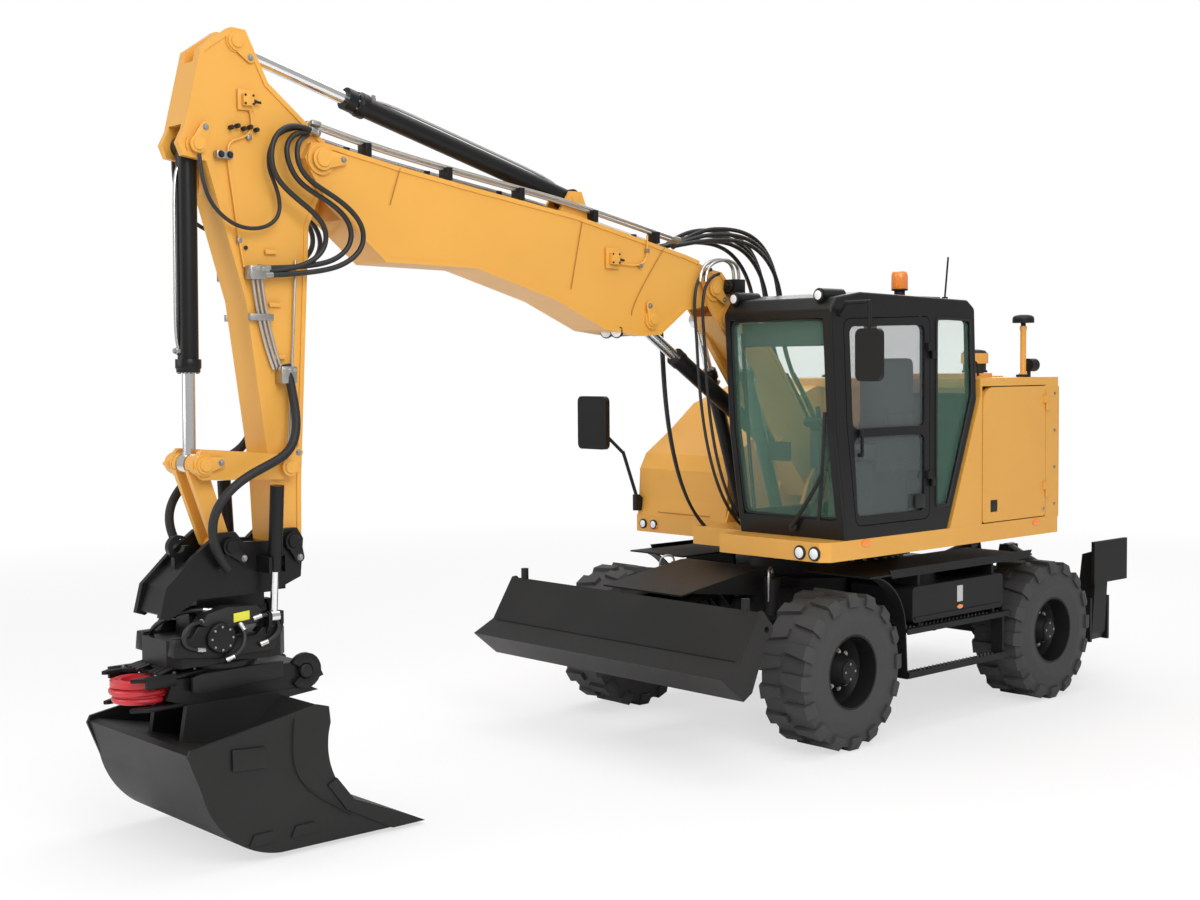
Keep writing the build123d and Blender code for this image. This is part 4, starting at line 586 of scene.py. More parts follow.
    @staticmethod
    def repeated(name: str, piece: bpy.types.Object, moves: list[Matrix]) -> bpy.types.Object:
        """A piece and its moved copies, joined as one mesh.

        Args:
            name: Name of the joined piece.
            piece: Piece that is repeated.
            moves: Move from the first piece to each further copy.

        Returns:
            The joined object.
        """
        group = [piece]
        for move in moves:
            copy = piece.copy()
            copy.data = piece.data.copy()
            copy.data.transform(move)
            bpy.context.collection.objects.link(copy)
            group.append(copy)
        return Bench.joined(name, group)

    @staticmethod
    def copied(name: str, piece: bpy.types.Object, shifts: list[Vector]) -> bpy.types.Object:
        """Copies of a piece, each shifted from the first, joined as one mesh."""
        return Bench.repeated(name, piece, [Matrix.Translation(shift) for shift in shifts])

    @staticmethod
    def ringed(
        name: str, piece: bpy.types.Object, centre: Vector, axis: Vector, count: int
    ) -> bpy.types.Object:
        """Copies of a piece round an axis, joined as one mesh.

        Args:
            name: Name of the joined piece.
            piece: Piece that is repeated.
            centre: Point on the axis.
            axis: Direction of the axis.
            count: How many pieces stand round it.

        Returns:
            The joined object.
        """
        turns = [Matrix.Rotation(place * math.tau / count, 4, axis) for place in range(1, count)]
        away, back = Matrix.Translation(centre), Matrix.Translation(-centre)
        return Bench.repeated(name, piece, [away @ turn @ back for turn in turns])

    @staticmethod
    def joined(name: str, group: list[bpy.types.Object]) -> bpy.types.Object:
        """Several meshes as one object.

        Args:
            name: Name of the joined piece.
            group: Objects to join, the first keeping its materials.

        Returns:
            The joined object.
        """
        Bench.clear()
        for piece in group:
            piece.select_set(True)
        bpy.context.view_layer.objects.active = group[0]
        if len(group) > 1:
            bpy.ops.object.join()
        whole = bpy.context.view_layer.objects.active
        whole.name = name
        whole.data.name = name
        return whole


def painted(piece: bpy.types.Object, finish: Finish | Pane | Glow) -> None:
    """Give a piece its finish, with smooth shading across its soft edges.

    Args:
        piece: Mesh object to coat.
        finish: Surface finish, which takes the place of what the piece had.
    """
    piece.data.materials.clear()
    piece.data.materials.append(finish.material())
    Bench.only(piece)
    bpy.ops.object.shade_smooth_by_angle(angle=AUTO_SMOOTH)


def dressed(piece: bpy.types.Object, finish: Finish | Pane | Glow, body: str) -> bpy.types.Object:
    """Give a piece its finish and the body that it moves with.

    Args:
        piece: Mesh object in the machine's frame.
        finish: Surface finish.
        body: Name of the moving body that carries the piece.

    Returns:
        The same object.
    """
    painted(piece, finish)
    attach(piece, body)
    LOG.info("%s on %s, %d faces", piece.name, body, len(piece.data.polygons))
    return piece


def bent(
    piece: bpy.types.Object, finish: Finish, first: str, second: str
) -> bpy.types.Object:
    """Give a hose its finish and log the two bodies that it runs between.

    Args:
        piece: Mesh object in the machine's frame.
        finish: Surface finish.
        first: Body at the hose's start, named only in the log.
        second: Body at the hose's end, named only in the log.

    Returns:
        The same object.
    """
    painted(piece, finish)
    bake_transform(piece)
    LOG.info("%s between %s and %s", piece.name, first, second)
    return piece


@dataclass
class Coats:
    """Finish of each piece that comes from the frame."""

    by_finish: dict[Finish | Pane | Glow, tuple[str, ...]] = field(default_factory=lambda: {
        MACHINE_YELLOW: ("upper_frame", "counterweight", "body_panels", "service_door", "hood",
                         "lower_boom", "upper_boom", "arm", "rocker", "link"),
        FRAME_BLACK: ("chassis_frame", "front_axle", "rear_axle", "knuckle_left", "knuckle_right",
                      "track_rod", "steps", "outrigger_left", "outrigger_right", "rim_front_left",
                      "rim_front_right", "rim_rear_left", "rim_rear_right", "outside_fittings"),
        CAB_BLACK: ("cab_shell", "cab_door", "tool_carrier", "tilt_body", "rotor", "lift_barrels",
                    "adjust_barrel", "arm_ram_barrel", "bucket_ram_barrel", "tilt_barrels",
                    "blade_ram_barrels", "outrigger_barrel_left", "outrigger_barrel_right"),
        BLADE_GREY: ("blade", "bucket"),
        RUBBER: ("tyre_front_left", "tyre_front_right", "tyre_rear_left", "tyre_rear_right"),
        CHROME: ("lift_rods", "adjust_rod", "arm_ram_rod", "bucket_ram_rod", "tilt_rod_left",
                 "tilt_rod_right", "blade_ram_rods", "outrigger_rod_left", "outrigger_rod_right"),
        CLAW_RED: ("gripper_fingers",),
        INSIDE_GREY: ("controls",),
        ENGINE_GREY: ("engine_block",),
        CAB_PANE: ("cab_glass",),
        DOOR_PANE: ("door_glass",),
    })

    def build(self) -> None:
        """Put each finish into its nodes' slots."""
        for finish, nodes in self.by_finish.items():
            for node in nodes:
                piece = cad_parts[node]
                piece.data.materials.clear()
                piece.data.materials.append(finish.material())
        LOG.info("finishes on %d nodes", sum(len(n) for n in self.by_finish.values()))


@dataclass(frozen=True)
class Pin:
    """One joint pin: its body, place, half length and flange, and the way to its lock bolt."""

    body: str
    place: tuple[float, float]
    half: float
    radius: float
    lock: tuple[float, float]
    finish: Finish = MACHINE_YELLOW


@dataclass
class PinCaps:
    """Flange, keeper and lock bolt on both ends of each joint pin."""

    bolt_radius: float = 0.014
    lobe: float = 0.030
    lobe_steps: int = 8
    keeper_thick: float = 0.007
    pins: dict[str, Pin] = field(default_factory=lambda: {
        "boom_joint": Pin("lower_boom", (0.20, 3.23), 0.138, 0.060, (-0.090, -0.080)),
        "lift_eye": Pin("lower_boom", (0.06, 3.01), 0.140, 0.064, (-0.060, 0.105)),
        "arm_pin": Pin("upper_boom", (3.54, 3.89), 0.187, 0.066, (-0.140, 0.004)),
        "adjust_eye": Pin("upper_boom", (0.87, 2.995), 0.175, 0.048, (0.030, 0.095)),
        "arm_ram_eye": Pin("arm", (4.05, 4.51), 0.118, 0.052, (-0.085, -0.083)),
        "bucket_ram_foot": Pin("arm", (4.31, 3.915), 0.138, 0.048, (-0.046, 0.096)),
        "rocker_pin": Pin("arm", (3.80, 2.11), 0.193, 0.050, (-0.055, 0.083)),
        "rocker_end": Pin("rocker", (4.33, 2.145), 0.178, 0.050, (-0.098, 0.010)),
        "tool_pin": Pin("tool_carrier", (3.78, 1.68), 0.182, 0.054, (-0.040, -0.095), CAB_BLACK),
        "link_end": Pin("tool_carrier", (4.18, 1.68), 0.178, 0.050, (-0.080, -0.070), CAB_BLACK),
    })

    def build(self) -> None:
        """Build both ends of every pin."""
        for name, pin in self.pins.items():
            for side in SIDES:
                self._cap(f"{name}_{word_of(side)}", pin, side)

    def _cap(self, name: str, pin: Pin, side: int) -> None:
        """Cap one pin end and hold it with a lobed keeper and its lock bolt.

        Args:
            name: Name that its pieces start with.
            pin: The pin.
            side: Its end: 1 on the left, -1 on the right.
        """
        ahead, up = pin.place
        face = at(ahead, side * pin.half, up)
        lock = Vector((pin.lock[0], 0, pin.lock[1]))
        radius = pin.radius
        out = Vector((0, side, 0))
        flange = Bench.turned(name + "_flange", face, out,
                              [(radius, 0), (radius, 0.010), (radius * 0.80, 0.0115), (radius * 0.78, 0.008),
                               (radius * 0.72, 0.008), (radius * 0.70, 0.017), (radius * 0.66, 0.019)], 40)
        dressed(flange, pin.finish, pin.body)
        turn = math.atan2(lock.z, lock.x)
        corners = []
        for centre, size, first in ((lock, self.lobe, -math.pi / 2), (Vector(), radius * 0.92, math.pi / 2)):
            for step in range(self.lobe_steps + 1):
                angle = turn + first + step * math.pi / self.lobe_steps
                spot = face + centre + size * Vector((math.cos(angle), 0, math.sin(angle)))
                corners.append((spot.x, spot.z))
        low = face.y + (0.001 if side > 0 else -0.001 - self.keeper_thick)
        keeper = Bench.plate(name + "_keeper", corners, Along.Y, low, low + self.keeper_thick, 0.002)
        dressed(keeper, pin.finish, pin.body)
        bolt = Bench.bolt(name + "_lock", face + out * self.keeper_thick + lock, out, self.bolt_radius)
        dressed(bolt, BOLT_ZINC, pin.body)


@dataclass
class BoomLines:
    """Plated pipes on the boom and arm, with their clamps and fittings."""

    pipe_radius: float = 0.011
    arm_pipe_radius: float = 0.009
    lanes: tuple[float, ...] = (0.146, 0.118, 0.090, -0.090, -0.118, -0.146)
    clamp_places: Profile = (
        (0.80, 3.555), (1.38, 3.672), (2.02, 3.778), (2.60, 3.865), (3.20, 3.962),
    )
    boom_run: Profile = (
        (0.60, 3.515), (1.05, 3.605), (1.56, 3.712), (2.02, 3.778), (2.475, 3.846), (2.95, 3.918),
        (3.30, 3.985), (3.56, 4.045),
    )
    arm_run: Profile = (
        (3.93, 3.22), (3.91, 3.00), (3.86, 2.80), (3.80, 2.66),
    )
    long_run: Profile = ((3.70, 3.30), (3.72, 2.90), (3.75, 2.45), (3.77, 2.22))

    def build(self) -> None:
        """Build the pipes, clamps and manifolds."""
        for lane, across in enumerate(self.lanes):
            lift = 0.034 if lane % 2 else 0.050
            route = [at(x, across, z + lift) for x, z in self.boom_run]
            dressed(Bench.pipe(f"boom_pipe_{lane + 1}", route, self.pipe_radius, 6), STEEL_PIPE, "upper_boom")
            for end, (x, z) in (("foot", self.boom_run[0]), ("tip", self.boom_run[-1])):
                nut = Bench.turned(f"boom_pipe_{lane + 1}_{end}_nut", at(x - 0.03, across, z + lift - 0.004),
                                   Vector((1, 0, 0.15)), [(0.019, 0), (0.019, 0.05), (0.015, 0.06)], 6)
                dressed(nut, BOLT_ZINC, "upper_boom")
        for side in SIDES:
            self._clamps(side)
        self._arm_pipes()
        self._manifolds()

    def _clamps(self, side: int) -> None:
        """Clamp the pipes along one side of the boom's top.

        Args:
            side: 1 on the left, -1 on the right.
        """
        name = f"boom_clamps_{word_of(side)}"
        x, z = self.clamp_places[0]
        clamp = Bench.side_brick(name, side, (x - 0.020, x + 0.022), (0.072, 0.164),
                                 (z - 0.030, z + 0.052), 0.004)
        shifts = [Vector((ahead - x, 0, up - z)) for ahead, up in self.clamp_places[1:]]
        dressed(Bench.copied(name, clamp, shifts), CAB_BLACK, "upper_boom")

    def _arm_pipes(self) -> None:
        """Pipes down the arm's left and right faces."""
        for side in SIDES:
            word = word_of(side)
            for lane, shift in enumerate((0.0, 0.032, 0.064)):
                route = [at(x + shift * 0.9, side * 0.134, z + shift * 0.2) for x, z in self.arm_run]
                pipe = Bench.pipe(f"arm_pipe_{word}_{lane + 1}", route, self.arm_pipe_radius, 6)
                dressed(pipe, STEEL_PIPE, "arm")
            clamp = Bench.side_brick(f"arm_pipe_clamp_{word}", side, (3.862, 4.010), (ARM_FACE_Y, 0.152),
                                     (2.95, 2.99), 0.003)
            dressed(clamp, BOLT_ZINC, "arm")
            long_run = [at(x, side * 0.130, z) for x, z in self.long_run]
            dressed(Bench.pipe(f"arm_long_pipe_{word}", long_run, 0.008, 6), STEEL_PIPE, "arm")

    def _manifolds(self) -> None:
        """Valve blocks with ports on the arm's faces."""
        for side in SIDES:
            word = word_of(side)
            for row, (x, z, tall) in enumerate(((3.79, 2.64, 0.10), (3.98, 3.22, 0.08))):
                block = Bench.side_brick(f"arm_valve_{word}_{row + 1}", side, (x - 0.05, x + 0.05),
                                         (ARM_FACE_Y, 0.196), (z - tall / 2, z + tall / 2), 0.006)
                dressed(block, BOLT_ZINC, "arm")
                for port in range(3):
                    start = at(x - 0.034 + port * 0.034, side * 0.190, z + tall / 4)
                    dressed(Bench.bolt(f"arm_valve_{word}_{row + 1}_port_{port + 1}", start,
                                       Vector((0, side, 0)), 0.012), STEEL_PIPE, "arm")


@dataclass
class Hoses:
    """Flexible hoses that cross the joints of the boom, arm and tool."""

    thick: float = 0.0155
    slim: float = 0.0115
    sleeve: float = 0.026
    loop_lanes: tuple[float, ...] = (0.105, 0.068, 0.031, -0.006, -0.043, -0.080, -0.117)
    foot_lanes: tuple[float, ...] = (0.196, 0.226)
    boom_top_route: Profile = (
        (0.60, 3.515), (0.38, 3.57), (0.06, 3.61), (-0.26, 3.57), (-0.47, 3.38), (-0.555, 3.12),
        (-0.56, 2.85), (-0.70, 2.60),
    )
    deck_route: Profile = (
        (-0.70, 2.60), (-0.86, 2.40), (-1.00, 2.18), (-1.12, 1.92), (-1.17, 1.68), (-1.17, 1.475),
    )
    foot_route: Profile = (
        (0.30, 3.36), (0.43, 3.33), (0.49, 3.16), (0.455, 2.90), (0.44, 2.60), (0.40, 2.30), (0.34, 2.05),
        (0.25, 1.80), (0.12, 1.60), (0.0, 1.50),
    )
    arm_routes: tuple[Route, ...] = (
        ((3.56, 0.146, 4.045), (3.72, 0.20, 4.08), (3.86, 0.215, 4.03), (3.91, 0.22, 3.89),
         (3.88, 0.22, 3.74), (3.70, 0.22, 3.62), (3.55, 0.22, 3.52), (3.53, 0.21, 3.38),
         (3.64, 0.19, 3.27), (3.82, 0.175, 3.235), (3.95, 0.165, 3.225)),
        ((3.56, 0.118, 4.045), (3.70, 0.19, 4.04), (3.80, 0.205, 3.97), (3.79, 0.21, 3.85),
         (3.72, 0.21, 3.73), (3.53, 0.21, 3.65), (3.39, 0.21, 3.56), (3.35, 0.21, 3.44),
         (3.42, 0.20, 3.32), (3.60, 0.185, 3.26), (3.94, 0.165, 3.245)),
        ((3.56, 0.090, 4.045), (3.68, 0.18, 4.00), (3.745, 0.235, 3.94), (3.74, 0.24, 3.83),
         (3.66, 0.24, 3.74), (3.47, 0.24, 3.66), (3.32, 0.24, 3.55), (3.28, 0.235, 3.42),
         (3.37, 0.22, 3.29), (3.58, 0.20, 3.225), (3.93, 0.175, 3.205)),
    )
    ram_route: Route = (
        (4.31, 0.150, 3.86), (4.305, 0.165, 3.66), (4.21, 0.175, 3.52), (4.05, 0.180, 3.45),
        (3.88, 0.180, 3.48), (3.81, 0.180, 3.58), (3.85, 0.180, 3.72), (3.90, 0.178, 3.81),
        (3.885, 0.172, 3.94), (3.80, 0.160, 4.04), (3.66, 0.150, 4.06),
    )
    sleeve_route: Route = (
        (3.79, 0.160, 2.70), (3.765, 0.205, 2.48), (3.77, 0.245, 2.31), (3.86, 0.272, 2.18),
        (4.04, 0.284, 2.12), (4.22, 0.278, 2.03), (4.34, 0.262, 1.88), (4.33, 0.240, 1.72),
        (4.27, 0.222, 1.62), (4.22, 0.212, 1.56),
    )

    def build(self) -> None:
        """Build every hose that crosses a joint."""
        for lane, across in enumerate(self.loop_lanes):
            self._boom_loop(lane, across)
        for lane, across in enumerate(self.foot_lanes):
            self._foot_hose(lane, across)
        for side in SIDES:
            word = word_of(side)
            for lane, run in enumerate(self.arm_routes):
                route = [at(x, side * y, z) for x, y, z in run]
                hose = Bench.pipe(f"arm_hose_{word}_{lane + 1}", route, self.thick, 8)
                bent(hose, HOSE_BLACK, "upper_boom", "arm")
                for end, tip, back, body in (("top", route[0], route[1], "upper_boom"),
                                             ("low", route[-1], route[-2], "arm")):
                    self._ferrule(f"arm_hose_{word}_{lane + 1}_{end}", tip, back, body)
            route = [at(x, side * y, z) for x, y, z in self.ram_route]
            bent(Bench.pipe(f"ram_hose_{word}", route, self.slim, 8), HOSE_BLACK, "arm", "upper_boom")
            route = [at(x, side * y, z) for x, y, z in self.sleeve_route]
            bent(Bench.pipe(f"tool_sleeve_{word}", route, self.sleeve, 10), TRIM_BLACK, "arm", "tool_carrier")

    def _ferrule(self, name: str, tip: Vector, back: Vector, body: str) -> None:
        """Crimped sleeve and nut on a hose's end.

        Args:
            name: Name of the hose and its end.
            tip: Where the hose ends.
            back: Next point along the hose.
            body: Body that the hose ends on.
        """
        line = (back - tip).normalized()
        sleeve = Bench.turned(name + "_sleeve", tip - line * 0.030, line,
                              [(0.014, 0), (0.022, 0.004), (0.022, 0.026), (0.0185, 0.030), (0.0185, 0.078),
                               (0.0165, 0.080)], 16, 0.001)
        dressed(sleeve, BOLT_ZINC, body)

    def _boom_loop(self, lane: int, across: float) -> None:
        """One hose over the boom's joint and on down to the deck.

        Args:
            lane: Its number in the bundle, which sets how high it stands.
            across: Its distance from the machine's middle.
        """
        lift = 0.045 * (lane % 3) - 0.01
        loop = [at(x - lift * 0.9, across * (1 + 0.30 * (0 < n < 6)), z + lift * (0 < n < 5))
                for n, (x, z) in enumerate(self.boom_top_route)]
        bent(Bench.pipe(f"boom_loop_{lane + 1}", loop, self.thick, 8), HOSE_BLACK, "upper_boom", "lower_boom")
        fall = [at(x - 0.03 * (lane % 2), across, z) for x, z in self.deck_route]
        bent(Bench.pipe(f"deck_hose_{lane + 1}", fall, self.thick, 8), HOSE_BLACK, "lower_boom", "upper")

    def _foot_hose(self, lane: int, across: float) -> None:
        """One hose down the front of the boom foot on each side.

        Args:
            lane: Its number on its side.
            across: Its distance from the machine's middle.
        """
        for name, side, back, down in (("foot_hose", 1, 0.0, 0.0), ("foot_hose_right", -1, 0.03, 0.04)):
            route = [at(x - back - 0.05 * lane, side * across, z - down - 0.03 * lane)
                     for x, z in self.foot_route]
            hose = Bench.pipe(f"{name}_{lane + 1}", route, self.slim, 8)
            bent(hose, HOSE_BLACK, "lower_boom", "upper")


@dataclass
class Rams:
    """Gland nuts, ports and hard lines on the big cylinders."""

    line_radius: float = 0.009
    line_gap: float = 0.018
    line_end: float = 0.12
    gland_bolts: int = 8

    def build(self) -> None:
        """Dress each cylinder along its own line."""
        self._dress("arm_ram", "arm_ram_barrel", at(1.50, 0, 3.80), at(4.05, 0, 4.51), 0.062, 1.756)
        self._dress("bucket_ram", "bucket_ram_barrel", at(4.31, 0, 3.915), at(4.33, 0, 2.145), 0.058, 1.257)
        for side in SIDES:
            word = word_of(side)
            self._dress(f"lift_ram_{word}", "lift_barrels", at(-0.42, side * 0.184, 1.56),
                        at(0.06, side * 0.184, 3.01), 0.048, 1.139)

    def _dress(
        self, name: str, body: str, foot: Vector, eye: Vector, radius: float, head: float
    ) -> None:
        """Dress one cylinder.

        Args:
            name: Name that its pieces start with.
            body: Body that carries the barrel.
            foot: Centre of its foot pin.
            eye: Centre of its rod's pin.
            radius: Outer radius of the barrel.
            head: Distance from the foot pin to the barrel's head.
        """
        line = (eye - foot).normalized()
        gland = Bench.turned(name + "_gland", foot + line * (head - 0.075), line,
                             [(radius * 1.24, 0), (radius * 1.24, 0.050), (radius * 1.14, 0.056),
                              (radius * 1.14, 0.075)], 40, 0.003)
        dressed(gland, CAB_BLACK, body)
        rim = line.orthogonal().normalized() * radius * 0.94
        bolt = Bench.bolt(name + "_gland_bolt", foot + line * head + rim, line, 0.008)
        dressed(Bench.ringed(name + "_gland_bolts", bolt, foot, line, self.gland_bolts), BOLT_ZINC, body)
        side = line.cross(Along.Y.value).normalized()
        if side.z < 0:
            side = -side
        ends = [foot + line * far + side * radius * 0.9 for far in (self.line_end, head - self.line_end)]
        run = [foot + line * far + side * (radius + self.line_gap)
               for far in (0.16, head * 0.35, head * 0.7, head - 0.16)]
        hard_line = Bench.pipe(name + "_hard_line", [ends[0], *run, ends[1]], self.line_radius, 6)
        dressed(hard_line, STEEL_PIPE, body)
        port = Bench.turned(name + "_port", foot + line * (head - self.line_end) + side * radius * 0.8, side,
                            [(0.022, 0), (0.022, 0.026), (0.015, 0.030), (0.015, 0.042)], 6)
        dressed(port, BOLT_ZINC, body)


@dataclass
class Wheel:
    """Hub cover, nuts and sidewall beads of one wheel."""

    word: str
    ahead: float
    side: int
    cover_y: float = 1.205
    flange_y: float = 1.112
    wall_y: float = 1.236
    nut_count: int = 10
    nut_circle: float = 0.128
    line_radii: tuple[float, float] = (0.315, 0.332)

    def build(self) -> None:
        """Build the wheel's cover, nuts and sidewall rings."""
        body = f"wheel_{self.word}"
        out = Vector((0, self.side, 0))
        face = at(self.ahead, self.side * self.cover_y, AXLE_Z)
        cover = Bench.turned(f"hub_cover_{self.word}", face, out,
                             [(0.078, 0), (0.078, 0.010), (0.070, 0.016), (0.030, 0.018), (0.028, 0.014)],
                             40, 0.002)
        dressed(cover, FRAME_BLACK, body)
        dot = Bench.turned(f"hub_dot_{self.word}", face + Vector((0, self.side * 0.012, 0.052)), out,
                           [(0.008, 0), (0.008, 0.006)], 12)
        dressed(Bench.ringed(f"hub_dots_{self.word}", dot, face, out, 4), BOLT_ZINC, body)
        flange = at(self.ahead, self.side * self.flange_y, AXLE_Z)
        nut = Bench.bolt(f"wheel_nut_{self.word}", flange + Vector((0, 0, self.nut_circle)), out, 0.015)
        dressed(Bench.ringed(f"wheel_nuts_{self.word}", nut, flange, out, self.nut_count), BOLT_ZINC, body)
        wall = at(self.ahead, self.side * self.wall_y, AXLE_Z)
        for ring, radius in enumerate(self.line_radii):
            self._bead(ring, wall, radius, body)

    def _bead(self, ring: int, wall: Vector, radius: float, body: str) -> None:
        """One raised line round the sidewall.

        Args:
            ring: Its number, from the rim outwards.
            wall: The sidewall's middle.
            radius: Its radius.
            body: Body that carries it.
        """
        route = []
        for place in range(37):
            turn = place * math.tau / 36
            route.append(wall + Vector((radius * math.cos(turn), 0, radius * math.sin(turn))))
        dressed(Bench.pipe(f"tyre_line_{self.word}_{ring + 1}", route, 0.005, 4), RUBBER, body)


@dataclass
class CabFittings:
    """Seals, wiper, handles, and what shows through the cab's windows."""

    seal_radius: float = 0.009
    rail_radius: float = 0.012
    quarter_frame: Profile = (
        (-0.94, 1.64), (-0.94, 3.00), (-1.35, 2.99), (-1.375, 2.44), (-1.08, 1.64),
    )
    windscreen_edge: Profile = ((1.605, 0.080), (2.2, 0.172), (2.985, 0.220))
    wiper_hub: tuple[float, float, float] = (0.128, 0.80, 1.535)
    wiper_run: Route = ((0.145, 0.93, 1.68), (0.168, 1.06, 1.84), (0.180, 1.12, 1.93))
    wiper_blade: Route = ((0.112, 1.03, 1.60), (0.150, 1.09, 1.85), (0.182, 1.135, 2.12), (0.202, 1.16, 2.35))
    door_rail: Route = (
        (-0.10, 0.075, 1.90), (-0.085, 0.095, 1.95), (-0.045, 0.095, 2.35), (-0.020, 0.095, 2.55),
        (-0.02, 0.075, 2.60),
    )
    inner_rail: Profile = ((0.03, 1.62), (0.10, 2.10), (0.13, 2.60), (0.15, 2.90))
    inner_rail_y: float = 0.36
    pad_cuts: int = 6
    pad_crown: float = 0.42
    pad_pinch: float = 0.03
    channel_place: float = 0.31
    channel_half: float = 0.02
    channel_depth: float = 0.12

    def build(self) -> None:
        """Build the cab's outer trim and its inside."""
        self._seal("quarter_seal", self.quarter_frame, CAB_SIDE_Y + 0.002, "upper")
        self._windscreen()
        self._wiper()
        self._handle()
        self._inside()
        self._roof()

    def _seal(
        self, name: str, corners: Profile, across: float, body: str
    ) -> None:
        """Rubber seal round a side window.

        Args:
            name: Name of the seal.
            corners: The window's corners, measured from the front axle and the ground.
            across: Its distance from the machine's middle.
            body: Body that carries it.
        """
        count = len(corners)
        route = []
        for place in range(count):
            x, z = corners[place]
            after = corners[(place + 1) % count]
            before = corners[place - 1]
            for share, other in ((0.08, before), (0.0, (x, z)), (0.08, after)):
                route.append(at(x + (other[0] - x) * share, across, z + (other[1] - z) * share))
        route.append(route[0])
        dressed(Bench.pipe(name, route, self.seal_radius, 6), TRIM_BLACK, body)

    def _windscreen(self) -> None:
        """Seal round the windscreen."""
        left, right = CAB_SIDE_Y - 0.066, 0.322
        run = [(left, z, x) for z, x in self.windscreen_edge]
        run += [(right, z, x) for z, x in reversed(self.windscreen_edge)] + run[:1]
        route = []
        for (y, z, x), (y2, z2, x2) in zip(run, run[1:]):
            for share in (0.03, 0.5, 0.97):
                route.append(at(x + (x2 - x) * share + 0.006, y + (y2 - y) * share, z + (z2 - z) * share))
        route.append(route[0])
        dressed(Bench.pipe("windscreen_seal", route, 0.010, 6), TRIM_BLACK, "upper")

    def _wiper(self) -> None:
        """Wiper with its motor cover, arm and blade."""
        hub = at(*self.wiper_hub)
        motor = Bench.turned("wiper_motor", hub - Vector((0.03, 0, 0)), Along.X.value,
                             [(0.034, 0), (0.034, 0.026), (0.024, 0.034)], 24, 0.003)
        dressed(motor, TRIM_BLACK, "upper")
        arm = [hub + Vector((0.008, 0, 0)), *(at(*spot) for spot in self.wiper_run)]
        dressed(Bench.pipe("wiper_arm", arm, 0.015, 6), TRIM_BLACK, "upper")
        blade = [at(*spot) for spot in self.wiper_blade]
        dressed(Bench.pipe("wiper_blade", blade, 0.013, 6), TRIM_BLACK, "upper")

    def _handle(self) -> None:
        """Latch housing and grab rail of the door."""
        low, high = at(-0.79, CAB_SIDE_Y - 0.002, 1.64), at(-0.68, CAB_SIDE_Y + 0.016, 1.74)
        dressed(Bench.brick("door_latch_housing", low, high, 0.006), TRIM_BLACK, "cab_door")
        rail = [at(x, CAB_SIDE_Y - inward, z) for x, inward, z in self.door_rail]
        dressed(Bench.pipe("door_grab_rail", rail, self.rail_radius, 6), TRIM_BLACK, "cab_door")

    def _inside(self) -> None:
        """Padded seat, display, sun blind and the rail beside the windscreen."""
        cushion = self._pad("seat_cushion", at(-0.99, 0.53, 1.962), at(-0.53, 0.99, 2.078))
        dressed(cushion, SEAT_CLOTH, "upper")
        back = self._pad("seat_back", at(-1.070, 0.54, 2.085), at(-0.915, 0.98, 2.715))
        dressed(back, SEAT_CLOTH, "upper")
        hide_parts("seat")
        screen = Bench.plate("display", [(0.395, 1.98), (0.60, 1.98), (0.60, 2.12), (0.395, 2.12)], Along.X,
                             FRONT_X - 0.10, FRONT_X - 0.07, 0.006, 0.012)
        dressed(screen, TRIM_BLACK, "upper")
        blind = Bench.plate("sun_blind", [(0.36, 2.80), (1.14, 2.80), (1.14, 2.97), (0.36, 2.97)], Along.X,
                            FRONT_X + 0.150, FRONT_X + 0.156, 0.001)
        dressed(blind, INSIDE_GREY, "upper")
        rail = [at(x, self.inner_rail_y, z) for x, z in self.inner_rail]
        dressed(Bench.pipe("cab_inner_rail", rail, 0.014, 6), TRIM_BLACK, "upper")

    def _pad(self, name: str, low: Vector, high: Vector) -> bpy.types.Object:
        """Crowned pad with a sewn channel, between two corners.

        Args:
            name: Name of the pad.
            low: Its lowest corner.
            high: Its highest corner.

        Returns:
            The smooth, closed mesh object.
        """
        Bench.clear()
        size = high - low
        bpy.ops.mesh.primitive_cube_add(size=1, location=(0, 0, 0))
        pad = bpy.context.object
        pad.data.transform(Matrix.Diagonal((*size, 1)))
        bpy.ops.object.mode_set(mode="EDIT")
        bpy.ops.mesh.select_all(action="SELECT")
        bpy.ops.mesh.subdivide(number_cuts=self.pad_cuts)
        bpy.ops.object.mode_set(mode="OBJECT")
        thin = min(range(3), key=lambda axis: size[axis])
        others = [axis for axis in range(3) if axis != thin]
        for corner in pad.data.vertices:
            away = max(abs(corner.co[axis]) / (size[axis] / 2) for axis in others)
            crown = 1.0 - self.pad_crown * away**3
            beside = abs(abs(corner.co[others[0]]) - size[others[0]] * self.channel_place)
            channel = 1.0 - self.channel_depth if beside < self.channel_half else 1.0
            corner.co[thin] *= crown * channel
            for axis in others:
                corner.co[axis] *= 1.0 - self.pad_pinch * (abs(corner.co[thin]) / (size[thin] / 2)) ** 2
        Bench.only(pad)
        soften = pad.modifiers.new("soften", "SUBSURF")
        soften.levels = 2
        soften.render_levels = 2
        bpy.ops.object.modifier_apply(modifier=soften.name)
        return Bench.settle(pad, Matrix.Translation((low + high) / 2), name)

    def _roof(self) -> None:
        """Lid on the roof."""
        low, high = at(-1.20, 0.40, 3.140), at(-0.86, 1.10, 3.168)
        dressed(Bench.brick("roof_lid", low, high, 0.010), CAB_BLACK, "upper")


